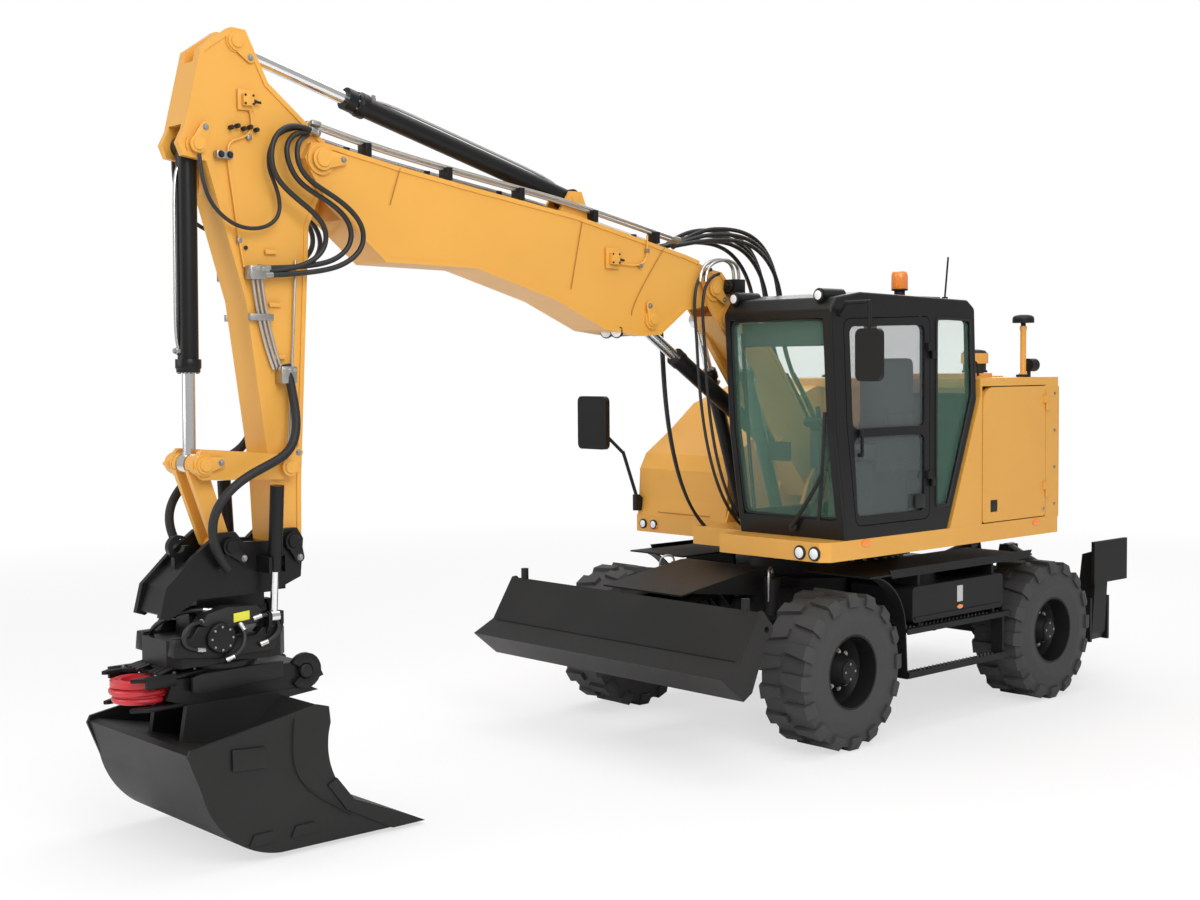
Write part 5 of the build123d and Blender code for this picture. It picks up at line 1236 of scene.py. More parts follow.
@dataclass
class Lamps:
    """Headlamps, roof lamps, beacon, markers and work lamps."""

    left_lanes: tuple[float, float] = (1.155, 1.025)
    left_radius: float = 0.050
    right_lanes: tuple[float, float] = (-1.05, -1.17)
    right_radius: float = 0.038
    roof_lanes: tuple[float, float] = (0.34, 1.12)
    roof_radius: float = 0.042
    marker_wide: float = 0.050
    marker_tall: float = 0.026
    marker_thick: float = 0.008
    boom_lamp_line: tuple[float, float, float] = (1.0, 0.35, -0.20)
    boom_lamp_middle: float = 0.055
    boom_lamp_apart: float = 0.052

    def build(self) -> None:
        """Build each lamp, in the place of the plain ones."""
        first = None
        left_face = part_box("upper_frame")[1].x
        for row, across in enumerate(self.left_lanes):
            lamp = self._round(f"headlamp_{row + 1}", Vector((left_face, across, 1.388)), self.left_radius)
            first = first or lamp
        for row, across in enumerate(self.right_lanes):
            self._round(f"side_headlamp_{row + 1}", at(-0.32, across, 1.395), self.right_radius)
        for row, across in enumerate(self.roof_lanes):
            self._round(f"roof_lamp_{row + 1}", at(0.212, across, 3.145), self.roof_radius)
        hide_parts("lamps")
        self._beacon()
        self._markers()
        self._boom_lamps()

    def _round(self, name: str, face: Vector, radius: float) -> bpy.types.Object:
        """Round lamp with a bezel and a domed lens, facing ahead.

        Args:
            name: Name that its pieces start with.
            face: Middle of its back.
            radius: Radius of its bezel.

        Returns:
            The bezel.
        """
        out = Along.X.value
        steps = [(radius, 0), (radius, 0.010), (radius * 0.93, 0.014), (radius * 0.91, 0.007)]
        bezel = Bench.turned(name + "_bezel", face, out, steps, 36, 0.001)
        dressed(bezel, TRIM_BLACK, "upper")
        steps = [(radius * 0.90, 0), (radius * 0.86, 0.006), (radius * 0.55, 0.011), (radius * 0.2, 0.0135),
                 (radius * 0.02, 0.014)]
        lens = Bench.turned(name + "_lens", face + out * 0.006, out, steps, 36)
        dressed(lens, LENS_CLEAR, "upper")
        return bezel

    def _beacon(self) -> None:
        """Orange beacon on its foot."""
        base = at(-1.10, 0.80, 3.1475)
        foot = Bench.turned("beacon_foot", base, Along.Z.value,
                            [(0.050, 0), (0.050, 0.012), (0.040, 0.020), (0.040, 0.070), (0.062, 0.074),
                             (0.062, 0.084)], 40, 0.002)
        dressed(foot, TRIM_BLACK, "upper")
        dome = Bench.turned("beacon_dome", base + Vector((0, 0, 0.085)), Along.Z.value,
                            [(0.060, 0), (0.062, 0.01), (0.061, 0.10), (0.058, 0.118), (0.050, 0.130),
                             (0.030, 0.1365), (0.002, 0.1375)], 40)
        dressed(dome, LENS_ORANGE, "upper")

    def _markers(self) -> None:
        """Orange markers on both sides and the right front."""
        for side in SIDES:
            front = -0.13 if side > 0 else -0.60
            for row, (x, z) in enumerate(((front, 1.436), (-2.246, 1.430))):
                outline = oval(x, z, self.marker_wide, self.marker_tall)
                marker = Bench.side_plate(f"marker_{word_of(side)}_{row + 1}", side, outline,
                                          (SKIRT_Y, SKIRT_Y + self.marker_thick), 0.002)
                dressed(marker, LENS_ORANGE, "upper")
        outline = oval(-1.055, 1.380, self.marker_wide, self.marker_tall)
        face = FRONT_X - 0.320
        marker = Bench.plate("marker_front_right", outline, Along.X, face, face + self.marker_thick, 0.002)
        dressed(marker, LENS_ORANGE, "upper")

    def _boom_lamps(self) -> None:
        """Two lamps under the boom."""
        for side in SIDES:
            word = word_of(side)
            across = self.boom_lamp_middle + side * self.boom_lamp_apart
            line = Vector(self.boom_lamp_line).normalized()
            start = at(1.12, across, 2.920)
            bracket = Bench.brick(f"boom_lamp_bracket_{word}", at(1.10, across - 0.02, 2.925),
                                  at(1.16, across + 0.02, 3.030), 0.004)
            dressed(bracket, TRIM_BLACK, "upper_boom")
            bowl = Bench.turned(f"boom_lamp_{word}", start, line,
                                [(0.028, 0), (0.045, 0.03), (0.047, 0.055), (0.041, 0.058)], 32, 0.002)
            dressed(bowl, TRIM_BLACK, "upper_boom")
            lens = Bench.turned(f"boom_lamp_lens_{word}", start + line * 0.056, line,
                                [(0.040, 0), (0.036, 0.006), (0.01, 0.010)], 32)
            dressed(lens, LENS_CLEAR, "upper_boom")


@dataclass
class BodyDetail:
    """Latch, mirror faces, antennas, hood parts, panel bolts and seam, with the studs under them."""

    stud_radius: float = 0.006
    stud_pitch: float = 0.048
    stud_lane: float = 0.032
    mast_y: float = 1.0
    mast_foot_z: float = 2.570
    mast_top_z: float = 3.0225
    ring_bolt_circle: float = 0.588
    ring_bolts: int = 36
    seam_z: float = 1.497
    mirror_thick: float = 0.004
    left_mirror: Profile = ((1.452, 2.575), (1.638, 2.575), (1.638, 2.895), (1.452, 2.895))
    right_mirror: Profile = ((-1.638, 2.015), (-1.322, 2.015), (-1.322, 2.415), (-1.638, 2.415))
    handle_run: Profile = (
        (-1.62, 2.575), (-1.62, 2.66), (-1.66, 2.69), (-1.74, 2.69), (-1.78, 2.66), (-1.78, 2.575),
    )

    def build(self) -> None:
        """Build the body's small parts."""
        self._latch()
        self._mirrors()
        self._step_studs()
        self._ring_bolts()
        self._mast_tops()
        self._hood_parts()
        self._panel_bolts()
        self._right_seam()

    def _latch(self) -> None:
        """Paddle in the service door's latch recess and its key lock."""
        low, high = at(-1.716, SKIRT_Y - 0.014, 1.551), at(-1.632, SKIRT_Y + 0.001, 1.635)
        dressed(Bench.brick("service_latch_paddle", low, high, 0.003), TRIM_BLACK, "service_door")
        key = Bench.turned("service_door_key", at(-2.34, SKIRT_Y + 0.005, 1.53), Along.Y.value,
                           [(0.014, 0), (0.014, 0.004), (0.009, 0.006)], 24, 0.001)
        dressed(key, BOLT_ZINC, "service_door")

    def _mirrors(self) -> None:
        """Mirror faces, turned to the driver."""
        for word, outline, ahead in (("left", self.left_mirror, 0.180), ("right", self.right_mirror, -0.086)):
            low = FRONT_X + ahead
            glass = Bench.plate(f"{word}_mirror_face", list(outline), Along.X, low,
                                low + self.mirror_thick, 0.001)
            dressed(glass, MIRROR_FACE, "upper")

    def _step_studs(self) -> None:
        """Raised grip studs on the two steps of each side."""
        for side in SIDES:
            word = word_of(side)
            for row, (x, z, count) in enumerate(((-1.90, 0.765, 26), (-1.88, 0.430, 25))):
                stud = Bench.turned(f"step_studs_{word}_{row + 1}", at(x, side * 1.10, z), Along.Z.value,
                                    [(self.stud_radius, 0), (self.stud_radius * 0.6, 0.005)], 8)
                shifts = []
                for along in range(count):
                    for lane in range(3):
                        if along or lane:
                            shifts.append(Vector((along * self.stud_pitch, side * lane * self.stud_lane, 0)))
                dressed(Bench.copied(f"step_studs_{word}_{row + 1}", stud, shifts), BOLT_ZINC, "chassis")

    def _ring_bolts(self) -> None:
        """Bolts round the slewing ring."""
        centre = at(-1.20, 0, 1.180)
        bolt = Bench.bolt("ring_bolt", centre + Vector((self.ring_bolt_circle, 0, 0)), Along.Z.value, 0.014)
        ring = Bench.ringed("ring_bolts", bolt, centre, Along.Z.value, self.ring_bolts)
        dressed(ring, BOLT_ZINC, "chassis")

    def _mast_tops(self) -> None:
        """Rounded tops and painted poles of the two position antennas."""
        mast_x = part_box("counterweight")[1].x + 0.110
        for side in SIDES:
            word = word_of(side)
            top = Vector((mast_x, side * self.mast_y, self.mast_top_z))
            dome = Bench.turned(f"antenna_dome_{word}", top, Along.Z.value,
                                [(0.084, 0), (0.080, 0.016), (0.064, 0.027), (0.036, 0.032), (0.004, 0.033)],
                                40)
            dressed(dome, TRIM_BLACK, "upper")
            foot = Vector((mast_x, side * self.mast_y, self.mast_foot_z))
            pole = Bench.turned(f"antenna_pole_{word}", foot, Along.Z.value,
                                [(0.034, 0), (0.034, 0.020), (0.0235, 0.024), (0.0235, 0.360), (0.028, 0.362),
                                 (0.028, 0.395)], 32, 0.001)
            dressed(pole, MACHINE_YELLOW, "upper")

    def _hood_parts(self) -> None:
        """Air filter's cover and the lift handles on the hood."""
        bonnet = Bench.turned("air_filter_cover", at(-1.950, 0.88, 2.600), Along.Z.value,
                              [(0.098, 0), (0.098, 0.015), (0.088, 0.022), (0.088, 0.085), (0.100, 0.092),
                               (0.100, 0.148), (0.078, 0.172), (0.030, 0.180)], 40, 0.002)
        dressed(bonnet, TRIM_BLACK, "hood")
        for side in SIDES:
            rail = [at(x, side * 1.03, z) for x, z in self.handle_run]
            dressed(Bench.pipe(f"hood_handle_{word_of(side)}", rail, 0.010, 6), TRIM_BLACK, "hood")

    def _right_seam(self) -> None:
        """Joint line above the skirt of the right box."""
        spots = ((-0.322, -0.44), (-0.322, -0.80), (-0.322, -1.20), (-0.45, -SKIRT_Y), (-1.50, -SKIRT_Y))
        seam = [at(x, y, self.seam_z) for x, y in spots]
        dressed(Bench.pipe("right_box_seam", seam, 0.004, 4), SEAM_BROWN, "upper")

    def _panel_bolts(self) -> None:
        """Bolts that hold the fixed side panels."""
        for side in SIDES:
            word = word_of(side)
            foot = at(-2.50, side * SKIRT_Y, 1.56)
            bolt = Bench.bolt(f"panel_bolts_{word}", foot, Vector((0, side, 0)), 0.009)
            shifts = [Vector((0, 0, step * 0.29)) for step in range(1, 4)]
            dressed(Bench.copied(f"panel_bolts_{word}", bolt, shifts), BOLT_ZINC, "upper")


@dataclass
class BoomDetail:
    """Weld seams, sensor housings, conduit and port blocks on the boom and arm."""

    seam_radius: float = 0.0035
    boom_seams: tuple[Profile, ...] = (
        ((1.51, 3.636), (1.613, 3.188)),
        ((0.735, 3.504), (1.076, 3.093), (1.060, 3.020)),
        ((2.979, 3.880), (3.057, 3.655)),
    )
    boom_conduit: Profile = (
        (1.18, 3.372), (1.09, 3.362), (0.985, 3.363), (0.925, 3.40), (0.918, 3.47), (0.918, 3.575),
    )
    arm_conduit: Profile = (
        (3.975, 4.13), (3.955, 4.05), (3.985, 3.98), (4.10, 3.96), (4.13, 3.90), (4.10, 3.70), (4.06, 3.40),
        (4.03, 3.25),
    )
    elbow_run: Route = (
        (0.03, 0.160, 3.27), (0.025, 0.163, 3.36), (0.075, 0.170, 3.425), (0.20, 0.185, 3.44),
        (0.36, 0.205, 3.41), (0.425, 0.212, 3.35), (0.43, 0.212, 3.27),
    )
    elbow_pitch: float = 0.055

    def build(self) -> None:
        """Build the small parts on the boom's and arm's sides."""
        for side in SIDES:
            for row, run in enumerate(self.boom_seams):
                route = [at(x, side * (BOOM_FACE_Y + 0.0005), z) for x, z in run]
                seam = Bench.pipe(f"boom_seam_{word_of(side)}_{row + 1}", route, self.seam_radius, 4)
                dressed(seam, SEAM_BROWN, "upper_boom")
        self._sensor("boom_sensor", "upper_boom", 1.245, 3.405, BOOM_FACE_Y, 0.058, 0.070)
        self._sensor("arm_sensor", "arm", 4.002, 4.188, ARM_FACE_Y, 0.050, 0.058)
        self._conduit("boom_conduit", "upper_boom", self.boom_conduit, 0.176)
        self._conduit("arm_conduit", "arm", self.arm_conduit, 0.126)
        self._ports()
        self._elbows()

    def _sensor(
        self, name: str, body: str, ahead: float, up: float, face: float, wide: float, tall: float
    ) -> None:
        """Angle sensor housing on a base plate, with its screws.

        Args:
            name: Name that its pieces start with.
            body: Body that carries it.
            ahead: Its middle ahead of the front axle.
            up: Its middle above the ground.
            face: Distance of the plate that it sits on from the machine's middle.
            wide: Half its width.
            tall: Half its height.
        """
        base = Bench.brick(name + "_base", at(ahead - wide, face - 0.002, up - tall),
                           at(ahead + wide, face + 0.014, up + tall), 0.004)
        dressed(base, MACHINE_YELLOW, body)
        cover = Bench.brick(name + "_cover", at(ahead - wide * 0.7, face + 0.010, up - tall * 0.62),
                            at(ahead + wide * 0.62, face + 0.046, up + tall * 0.55), 0.006)
        dressed(cover, MACHINE_YELLOW, body)
        first = at(ahead - wide * 0.56, face + 0.046, up - tall * 0.44)
        screw = Bench.turned(name + "_screws", first, Along.Y.value,
                             [(0.007, 0), (0.007, 0.004), (0.004, 0.005)], 12)
        shifts = [Vector((wide, 0, 0)), Vector((0, 0, tall * 0.82)), Vector((wide, 0, tall * 0.82))]
        dressed(Bench.copied(name + "_screws", screw, shifts), TRIM_BLACK, body)
        foot = at(ahead - wide * 0.7, face + 0.026, up - tall * 0.1)
        plug = Bench.turned(name + "_plug", foot, Vector((-1, 0, -0.1)),
                            [(0.012, 0), (0.012, 0.02), (0.008, 0.024), (0.008, 0.05), (0.005, 0.054)], 16)
        dressed(plug, TRIM_BLACK, body)

    def _conduit(
        self, name: str, body: str, run: Profile, across: float
    ) -> None:
        """Painted cable pipe along a web, with two small clips.

        Args:
            name: Name of the pipe.
            body: Body that carries it.
            run: Points along it, measured from the front axle and the ground.
            across: Its distance from the machine's middle.
        """
        route = [at(x, across, z) for x, z in run]
        dressed(Bench.pipe(name, route, 0.007, 6), MACHINE_YELLOW, body)
        for row, spot in enumerate((route[2], route[-2])):
            clip = Bench.brick(f"{name}_clip_{row + 1}", spot - Vector((0.014, 0.012, 0.014)),
                               spot + Vector((0.014, 0.011, 0.014)), 0.003)
            dressed(clip, BOLT_ZINC, body)

    def _ports(self) -> None:
        """Row of capped ports, two-way block, pads and plug on the arm's side."""
        for side in SIDES:
            word = word_of(side)
            out = Vector((0, side, 0))
            cap = Bench.turned(f"arm_ports_{word}", at(4.100, side * ARM_FACE_Y, 4.025), out,
                               [(0.014, 0), (0.014, 0.030), (0.011, 0.034)], 6)
            shifts = [Vector((-0.040 * n, 0, 0.012 * (n % 2))) for n in range(1, 5)]
            dressed(Bench.copied(f"arm_ports_{word}", cap, shifts), TRIM_BLACK, "arm")
            block = Bench.side_brick(f"arm_tee_block_{word}", side, (4.105, 4.205), (ARM_FACE_Y, 0.160),
                                     (3.845, 3.890), 0.005)
            dressed(block, BOLT_ZINC, "arm")
            for row in range(2):
                spot = at(4.125 + row * 0.055, side * 0.158, 3.868)
                dressed(Bench.bolt(f"arm_tee_nut_{word}_{row + 1}", spot, out, 0.015), TRIM_BLACK, "arm")
            pad = Bench.side_brick(f"arm_pad_{word}", side, (3.80, 3.875), (0.117, 0.132),
                                   (3.03, 3.055), 0.003)
            shifts = [Vector((-0.02, 0, -0.30)), Vector((0.02, 0, 0.30))]
            dressed(Bench.copied(f"arm_pad_{word}", pad, shifts), MACHINE_YELLOW, "arm")
            vent = Bench.turned(f"arm_plug_{word}", at(4.015, side * 0.117, 3.36), out,
                                [(0.012, 0), (0.012, 0.006), (0.008, 0.007)], 16)
            dressed(vent, TRIM_BLACK, "arm")

    def _elbows(self) -> None:
        """Bent pipes over the boom's joint that the foot hoses hang from, with the valve beside them."""
        for side in SIDES:
            word = word_of(side)
            for lane in range(2):
                route = [at(x - lane * self.elbow_pitch, side * y, z) for x, y, z in self.elbow_run]
                elbow = Bench.pipe(f"foot_elbow_{word}_{lane + 1}", route, 0.012, 6)
                dressed(elbow, STEEL_PIPE, "lower_boom")
            valve = Bench.side_brick(f"joint_valve_{word}", side, (-0.02, 0.09), (0.118, 0.235),
                                     (3.19, 3.30), 0.010)
            dressed(valve, CAB_BLACK, "lower_boom")
            knob = Bench.turned(f"joint_valve_cap_{word}", at(0.09, side * 0.175, 3.245), Along.X.value,
                                [(0.042, 0), (0.042, 0.016), (0.034, 0.022), (0.018, 0.024), (0.018, 0.036)],
                                24, 0.002)
            dressed(knob, CAB_BLACK, "lower_boom")


@dataclass
class ToolDetail:
    """Housings, motor, hoses, plates and clamp rings of the tilting and turning head."""

    ring_heights: tuple[float, ...] = (0.872, 0.918, 0.964)
    ring_reaches: tuple[float, float] = (0.135, 0.150)
    ring_sweep: float = 236.0
    ring_steps: int = 18
    ring_ahead: float = 4.66
    ring_section: float = 0.0195
    motor_radius: float = 0.086
    hose_radius: float = 0.014
    hook_ahead: float = 3.735
    hook_up: float = 0.925
    hook_outer: float = 0.105
    hook_inner: float = 0.046
    case_outline: Profile = (
        (4.02, 1.215), (4.06, 1.175), (4.18, 1.175), (4.20, 1.235), (4.42, 1.262), (4.46, 1.205),
        (4.56, 1.205), (4.57, 1.100), (4.30, 1.070), (3.95, 1.075), (3.90, 1.150), (3.93, 1.210),
    )
    housing_outline: Profile = (
        (4.01, 1.300), (4.05, 1.345), (4.24, 1.352), (4.36, 1.325), (4.40, 1.265), (4.32, 1.230),
        (4.04, 1.240),
    )
    tag_outline: Profile = (
        (4.10, 1.268), (4.10, 1.318), (4.20, 1.310), (4.20, 1.260),
    )
    beam_outline: Profile = (
        (3.90, 0.918), (3.90, 1.008), (4.42, 1.000), (4.47, 0.985), (4.47, 0.905), (4.42, 0.892),
    )
    guard_outline: Profile = (
        (4.32, -0.17), (4.56, -0.235), (4.72, -0.235), (4.80, -0.175), (4.78, -0.155), (4.68, -0.165),
        (4.60, -0.10), (4.60, 0.10), (4.68, 0.165), (4.78, 0.155), (4.80, 0.175), (4.72, 0.235),
        (4.56, 0.235), (4.32, 0.17),
    )
    hose_runs: tuple[Route, ...] = (
        ((4.36, 0.20, 1.275), (4.47, 0.245, 1.30), (4.545, 0.25, 1.22), (4.50, 0.245, 1.14),
         (4.40, 0.235, 1.13)),
        ((4.06, 0.22, 1.27), (3.97, 0.25, 1.30), (3.905, 0.25, 1.24), (3.93, 0.245, 1.15),
         (4.03, 0.235, 1.12)),
        ((4.30, 0.14, 1.33), (4.40, 0.10, 1.345), (4.50, 0.02, 1.30), (4.54, -0.08, 1.24),
         (4.50, -0.18, 1.18)),
        ((4.16, 0.235, 1.24), (4.14, 0.285, 1.18), (4.17, 0.290, 1.10), (4.26, 0.265, 1.065)),
    )

    def build(self) -> None:
        """Build the head's pieces."""
        self._tilt_parts()
        self._grab_parts()
        self._hitch_hooks()

    def _tilt_parts(self) -> None:
        """Motor, housings and hoses that tilt with the head."""
        body = "tilt_body"
        for side in SIDES:
            word = word_of(side)
            out = Vector((0, side, 0))
            centre = at(4.29, side * 0.205, 1.185)
            cover = Bench.turned(f"slew_motor_{word}", centre, out,
                                 [(self.motor_radius, 0), (self.motor_radius, 0.050), (0.078, 0.058),
                                  (0.050, 0.060), (0.048, 0.054), (0.020, 0.054)], 40, 0.002)
            dressed(cover, CAB_BLACK, body)
            foot = centre + out * 0.057 + Vector((0.064, 0, 0))
            bolt = Bench.bolt(f"slew_motor_bolts_{word}", foot, out, 0.007)
            dressed(Bench.ringed(f"slew_motor_bolts_{word}", bolt, centre, out, 8), BOLT_ZINC, body)
            case = Bench.side_plate(f"gear_case_{word}", side, self.case_outline, (0.150, 0.232), 0.008)
            dressed(case, CAB_BLACK, body)
        housing = Bench.side_plate("swivel_housing", 1, self.housing_outline, (0.110, 0.228), 0.012)
        dressed(housing, TRIM_BLACK, body)
        tag = Bench.side_plate("blank_tag", 1, self.tag_outline, (0.228, 0.2292), 0.0004)
        dressed(tag, TAG_YELLOW, body)
        sump = Bench.turned("swivel_drum", at(4.18, 0, 1.010), Along.Z.value,
                            [(0.225, 0), (0.225, 0.030), (0.190, 0.036), (0.190, 0.085), (0.150, 0.095),
                             (0.150, 0.24), (0.110, 0.25)], 56, 0.003)
        dressed(sump, CAB_BLACK, body)
        for row, run in enumerate(self.hose_runs):
            route = [at(*spot) for spot in run]
            dressed(Bench.pipe(f"head_hose_{row + 1}", route, self.hose_radius, 8), HOSE_BLACK, body)
            for end, tip, back in (("near", route[0], route[1]), ("far", route[-1], route[-2])):
                line = (back - tip).normalized()
                steps = [(0.013, 0), (0.019, 0.003), (0.019, 0.020), (0.017, 0.022), (0.017, 0.052)]
                sleeve = Bench.turned(f"head_hose_{row + 1}_{end}", tip - line * 0.014, line, steps, 12)
                dressed(sleeve, STEEL_PIPE, body)

    def _grab_parts(self) -> None:
        """Guard plates, clamp rings and small cylinders in front of the hitch."""
        body = "rotor"
        for row, up in enumerate(self.ring_heights):
            reach = self.ring_reaches[row % 2]
            route = []
            for step in range(self.ring_steps + 1):
                turn = math.radians(self.ring_sweep * (step / self.ring_steps - 0.5))
                route.append(at(self.ring_ahead + reach * math.cos(turn), reach * math.sin(turn), up))
            arc = Bench.pipe(f"clamp_ring_{row + 1}", route, self.ring_section, 10)
            dressed(arc, CLAW_RED, body)
        for name, share, low, high in (("grab_guard_top", 1.0, 0.990, 1.012),
                                       ("grab_guard_low", 0.92, 0.826, 0.848)):
            outline = [(FRONT_X + x, y * share) for x, y in self.guard_outline]
            dressed(Bench.plate(name, outline, Along.Z, low, high, 0.004), CAB_BLACK, body)
        for side in SIDES:
            word = word_of(side)
            lip = Bench.side_brick(f"grab_lip_{word}", side, (4.56, 4.735), (0.213, 0.237),
                                   (0.955, 1.022), 0.005)
            dressed(lip, CAB_BLACK, body)
            foot = at(4.30, side * 0.095, 1.040)
            ram = Bench.turned(f"grab_ram_{word}", foot, Vector((1, side * 0.12, -0.06)),
                               [(0.020, 0), (0.030, 0.005), (0.030, 0.190), (0.024, 0.196), (0.014, 0.198),
                                (0.014, 0.27)], 24, 0.001)
            dressed(ram, TRIM_BLACK, body)
            beam = Bench.side_plate(f"hitch_beam_{word}", side, self.beam_outline, (0.225, 0.252), 0.004)
            dressed(beam, BLADE_GREY, body)
            for lane in range(3):
                run = [at(4.34 + lane * 0.02, side * (0.03 + lane * 0.035), 1.045),
                       at(4.44, side * (0.05 + lane * 0.04), 1.068),
                       at(4.56, side * (0.07 + lane * 0.045), 1.040),
                       at(4.64, side * (0.08 + lane * 0.05), 1.015)]
                dressed(Bench.pipe(f"grab_hose_{word}_{lane + 1}", run, 0.011, 6), HOSE_BLACK, body)
            bolt = Bench.bolt(f"guard_bolts_{word}", at(4.40, side * 0.14, 1.012), Along.Z.value, 0.010)
            shifts = [Vector((0.26, side * 0.055, 0)), Vector((0.14, side * 0.03, 0))]
            dressed(Bench.copied(f"guard_bolts_{word}", bolt, shifts), BOLT_ZINC, body)

    def _hitch_hooks(self) -> None:
        """Round hooks of the hitch over the bucket's rear pin."""
        outline = []
        for reach, turns in ((self.hook_outer, (100 + n * 17 for n in range(-4, 14))),
                             (self.hook_inner, (321 - n * 26 for n in range(12)))):
            for turn in turns:
                outline.append((self.hook_ahead + reach * math.cos(math.radians(turn)),
                                self.hook_up + reach * math.sin(math.radians(turn))))
        for side in SIDES:
            hook = Bench.side_plate(f"hitch_hook_{word_of(side)}", side, outline, (0.187, 0.223), 0.004)
            dressed(hook, CAB_BLACK, "rotor")
        pin = Bench.turned("bucket_rear_pin", at(self.hook_ahead, -0.232, self.hook_up), Along.Y.value,
                           [(0.034, 0), (0.040, 0.004), (0.040, 0.460), (0.034, 0.464)], 32, 0.001)
        dressed(pin, BLADE_GREY, "rotor")


@dataclass
class BucketDetail:
    """Blank relief and weld seam on each of the bucket's cheeks."""

    cheek_y: float = 0.622
    relief_depth: float = 0.004
    relief: Profile = ((4.245, 0.520), (4.245, 0.632), (4.445, 0.645), (4.445, 0.530))
    seam: Profile = (
        (4.055, 0.760), (4.072, 0.640), (4.073, 0.529), (4.038, 0.422), (3.960, 0.330), (3.886, 0.276),
        (3.69, 0.150),
    )

    def build(self) -> None:
        """Build the bucket's reliefs and seams."""
        for side in SIDES:
            word = word_of(side)
            faces = (self.cheek_y - self.relief_depth, self.cheek_y + self.relief_depth)
            relief = Bench.side_plate(f"bucket_relief_{word}", side, self.relief, faces, 0.001, 0.012)
            dressed(relief, BLADE_GREY, "rotor")
            route = [at(x, side * (self.cheek_y - 0.001), z) for x, z in self.seam]
            dressed(Bench.pipe(f"bucket_cheek_seam_{word}", route, 0.004, 4), BLADE_GREY, "rotor")


@dataclass
class ChassisDetail:
    """Blank plates, reflectors, axle lock cylinders and the blade's fold."""

    toolbox_y: float = 1.200
    lock_y: float = 0.50
    plate: Profile = (
        (-1.345, 0.900), (-1.345, 1.020), (-1.275, 1.020), (-1.275, 0.900),
    )
    lock_pipe: Route = (
        (0, 0, 0.30), (0, 0, 0.345), (0.03, 0.02, 0.362), (0.09, 0.05, 0.355), (0.105, 0.06, 0.30),
        (0.105, 0.06, 0.12),
    )

    def build(self) -> None:
        """Build the undercarriage's small parts."""
        for side in SIDES:
            word = word_of(side)
            plate = Bench.side_plate(f"toolbox_plate_{word}", side, self.plate,
                                     (self.toolbox_y, self.toolbox_y + 0.0025), 0.0006, 0.004)
            dressed(plate, BLANK_PLATE, "chassis")
            # The reflector takes the orange lens finish, whose faint emission paints a glow on a part that
            # gives no light of its own.
            reflector = Bench.side_plate(f"toolbox_reflector_{word}", side, oval(-1.31, 0.862, 0.036, 0.016),
                                         (self.toolbox_y - 0.001, self.toolbox_y + 0.005), 0.0015)
            dressed(reflector, LENS_ORANGE, "chassis")
            foot = at(0.0, side * self.lock_y, 0.86)
            lock = Bench.turned(f"axle_lock_{word}", foot, Along.Z.value,
                                [(0.045, 0), (0.060, 0.008), (0.060, 0.27), (0.052, 0.28), (0.022, 0.285),
                                 (0.022, 0.31)], 32, 0.002)
            dressed(lock, TRIM_BLACK, "chassis")
            run = [foot + Vector((x, side * y, z)) for x, y, z in self.lock_pipe]
            dressed(Bench.pipe(f"axle_lock_pipe_{word}", run, 0.008, 6), STEEL_PIPE, "chassis")
        fold = [at(1.178, across, 0.778) for across in (-1.23, 0.0, 1.23)]
        dressed(Bench.pipe("blade_fold_seam", fold, 0.003, 4), BLADE_GREY, "blade")


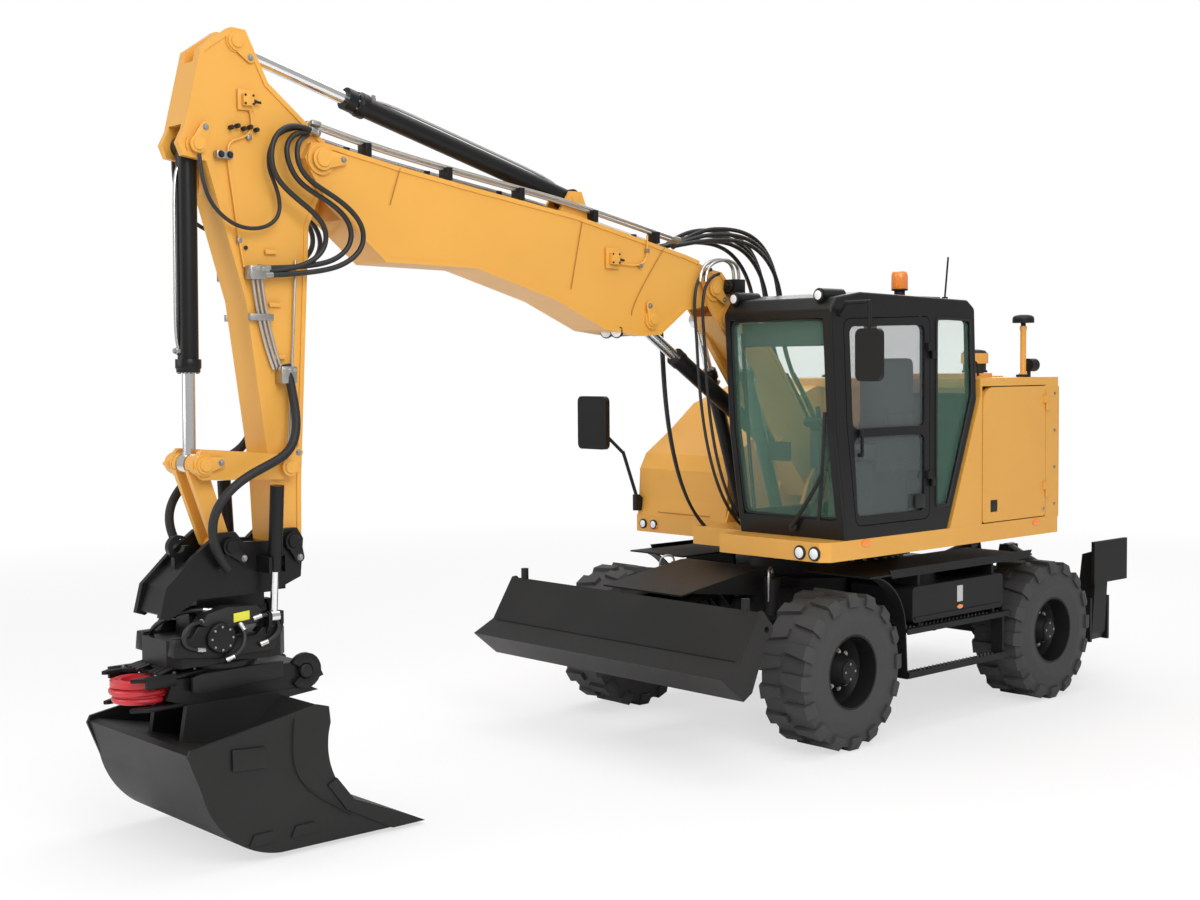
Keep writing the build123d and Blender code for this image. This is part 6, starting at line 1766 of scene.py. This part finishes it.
@dataclass
class Studio:
    """Camera, soft light and the pale floor."""

    focal_mm: float = 48.07
    sensor_mm: float = 36.0
    yaw: float = math.radians(227.762)
    pitch_down: float = math.radians(3.0142)
    roll: float = math.radians(-0.4719)
    eye: tuple[float, float, float] = (8.660, 8.199, 2.678)
    lights: tuple[tuple[str, tuple[float, float, float], float, float], ...] = (
        ("key_light", (5.0, 9.0, 8.0), 6.0, 640.0),
        ("fill_light", (10.0, -3.0, 5.0), 6.0, 240.0),
        ("back_light", (-9.0, -4.0, 7.0), 6.0, 260.0),
        ("top_light", (0.0, 0.0, 10.0), 8.0, 380.0),
    )
    world_level: float = 0.50
    floor_size: float = 120.0
    floor_grey: float = 0.92
    floor_fade: tuple[float, float] = (4.0, 16.0)
    floor_white: float = 0.64

    def build(self) -> None:
        """Build the camera, the lights, the world and the floor."""
        self._camera()
        self._lights()
        self._world()
        self._floor()

    def _camera(self) -> None:
        """Camera at the photograph's place and angle."""
        lens = bpy.data.cameras.new("camera")
        lens.lens = self.focal_mm
        lens.sensor_width = self.sensor_mm
        lens.clip_end = 200.0
        camera = bpy.data.objects.new("camera", lens)
        bpy.context.collection.objects.link(camera)
        ahead = Vector((
            math.cos(self.yaw) * math.cos(self.pitch_down),
            math.sin(self.yaw) * math.cos(self.pitch_down),
            -math.sin(self.pitch_down),
        ))
        right = ahead.cross(Along.Z.value).normalized()
        up = right.cross(ahead)
        tilted_right = right * math.cos(self.roll) + up * math.sin(self.roll)
        tilted_up = up * math.cos(self.roll) - right * math.sin(self.roll)
        turn = Matrix((tilted_right, tilted_up, -ahead)).transposed().to_4x4()
        camera.matrix_world = Matrix.Translation(at(*self.eye)) @ turn
        bpy.context.scene.camera = camera

    def _lights(self) -> None:
        """Soft key, fill, back and top lights, turned to the machine."""
        for name, spot, size, power in self.lights:
            light = bpy.data.lights.new(name, "AREA")
            light.size = size
            light.energy = power
            lamp = bpy.data.objects.new(name, light)
            lamp.location = spot
            lamp.rotation_euler = (Vector((0, 0, 1.5)) - Vector(spot)).to_track_quat("-Z", "Y").to_euler()
            bpy.context.collection.objects.link(lamp)

    def _world(self) -> None:
        """White to the camera and through glass, and a plain level of light elsewhere."""
        world = bpy.data.worlds.new("studio")
        bpy.context.scene.world = world
        world.use_nodes = True
        recipe = Recipe(world.node_tree)
        seen = recipe.add("ShaderNodeLightPath", "Is Camera Ray")
        through = seen.node.outputs["Is Transmission Ray"]
        either = recipe.add("ShaderNodeMath", "Value", {0: seen, 1: through}, operation="MAXIMUM")
        level = recipe.add("ShaderNodeMapRange", "Result",
                           {"To Min": self.world_level, "To Max": 1.0, "Value": either})
        recipe.fill(world.node_tree.nodes["Background"], {"Color": (1, 1, 1, 1), "Strength": level})

    def _floor(self) -> None:
        """Pale floor that keeps the machine's shadow and fades to white far away."""
        Bench.clear()
        bpy.ops.mesh.primitive_plane_add(size=self.floor_size, location=(0, 0, -0.002))
        floor = bpy.context.object
        floor.name = "floor"
        recipe, material, shader = Recipe.shaded("pale_floor")
        grey = (self.floor_grey, self.floor_grey, self.floor_grey, 1)
        recipe.fill(shader, {"Base Color": grey, "Roughness": 0.95, "Specular IOR Level": 0.0})
        place = recipe.add("ShaderNodeTexCoord", "Object")
        away = recipe.add("ShaderNodeVectorMath", "Value", {0: place}, operation="LENGTH")
        near, far = self.floor_fade
        fade = recipe.add("ShaderNodeMapRange", "Result",
                          {"From Min": near, "From Max": far, "To Min": self.floor_white, "To Max": 1.0,
                           "Value": away})
        seen = recipe.add("ShaderNodeLightPath", "Is Camera Ray")
        share = recipe.add("ShaderNodeMath", "Value", {0: seen, 1: fade}, operation="MULTIPLY")
        white = recipe.add("ShaderNodeEmission", "Emission", {"Color": (1, 1, 1, 1)})
        mix = recipe.add("ShaderNodeMixShader", "Shader", {"Fac": share, 1: shader.outputs["BSDF"], 2: white})
        recipe.fill(material.node_tree.nodes["Material Output"], {"Surface": mix})
        floor.data.materials.append(material)


def main() -> None:
    """Build the whole scene in order."""
    bpy.context.scene.view_settings.view_transform = "Standard"
    Coats().build()
    PinCaps().build()
    BoomLines().build()
    Hoses().build()
    Rams().build()
    BoomDetail().build()
    ToolDetail().build()
    BucketDetail().build()
    ChassisDetail().build()
    for word, ahead, side in (
        ("front_left", 0.0, 1),
        ("front_right", 0.0, -1),
        ("rear_left", -WHEELBASE, 1),
        ("rear_right", -WHEELBASE, -1),
    ):
        Wheel(word, ahead, side).build()
    CabFittings().build()
    Lamps().build()
    BodyDetail().build()
    Studio().build()


if __name__ == "__main__":
    main()
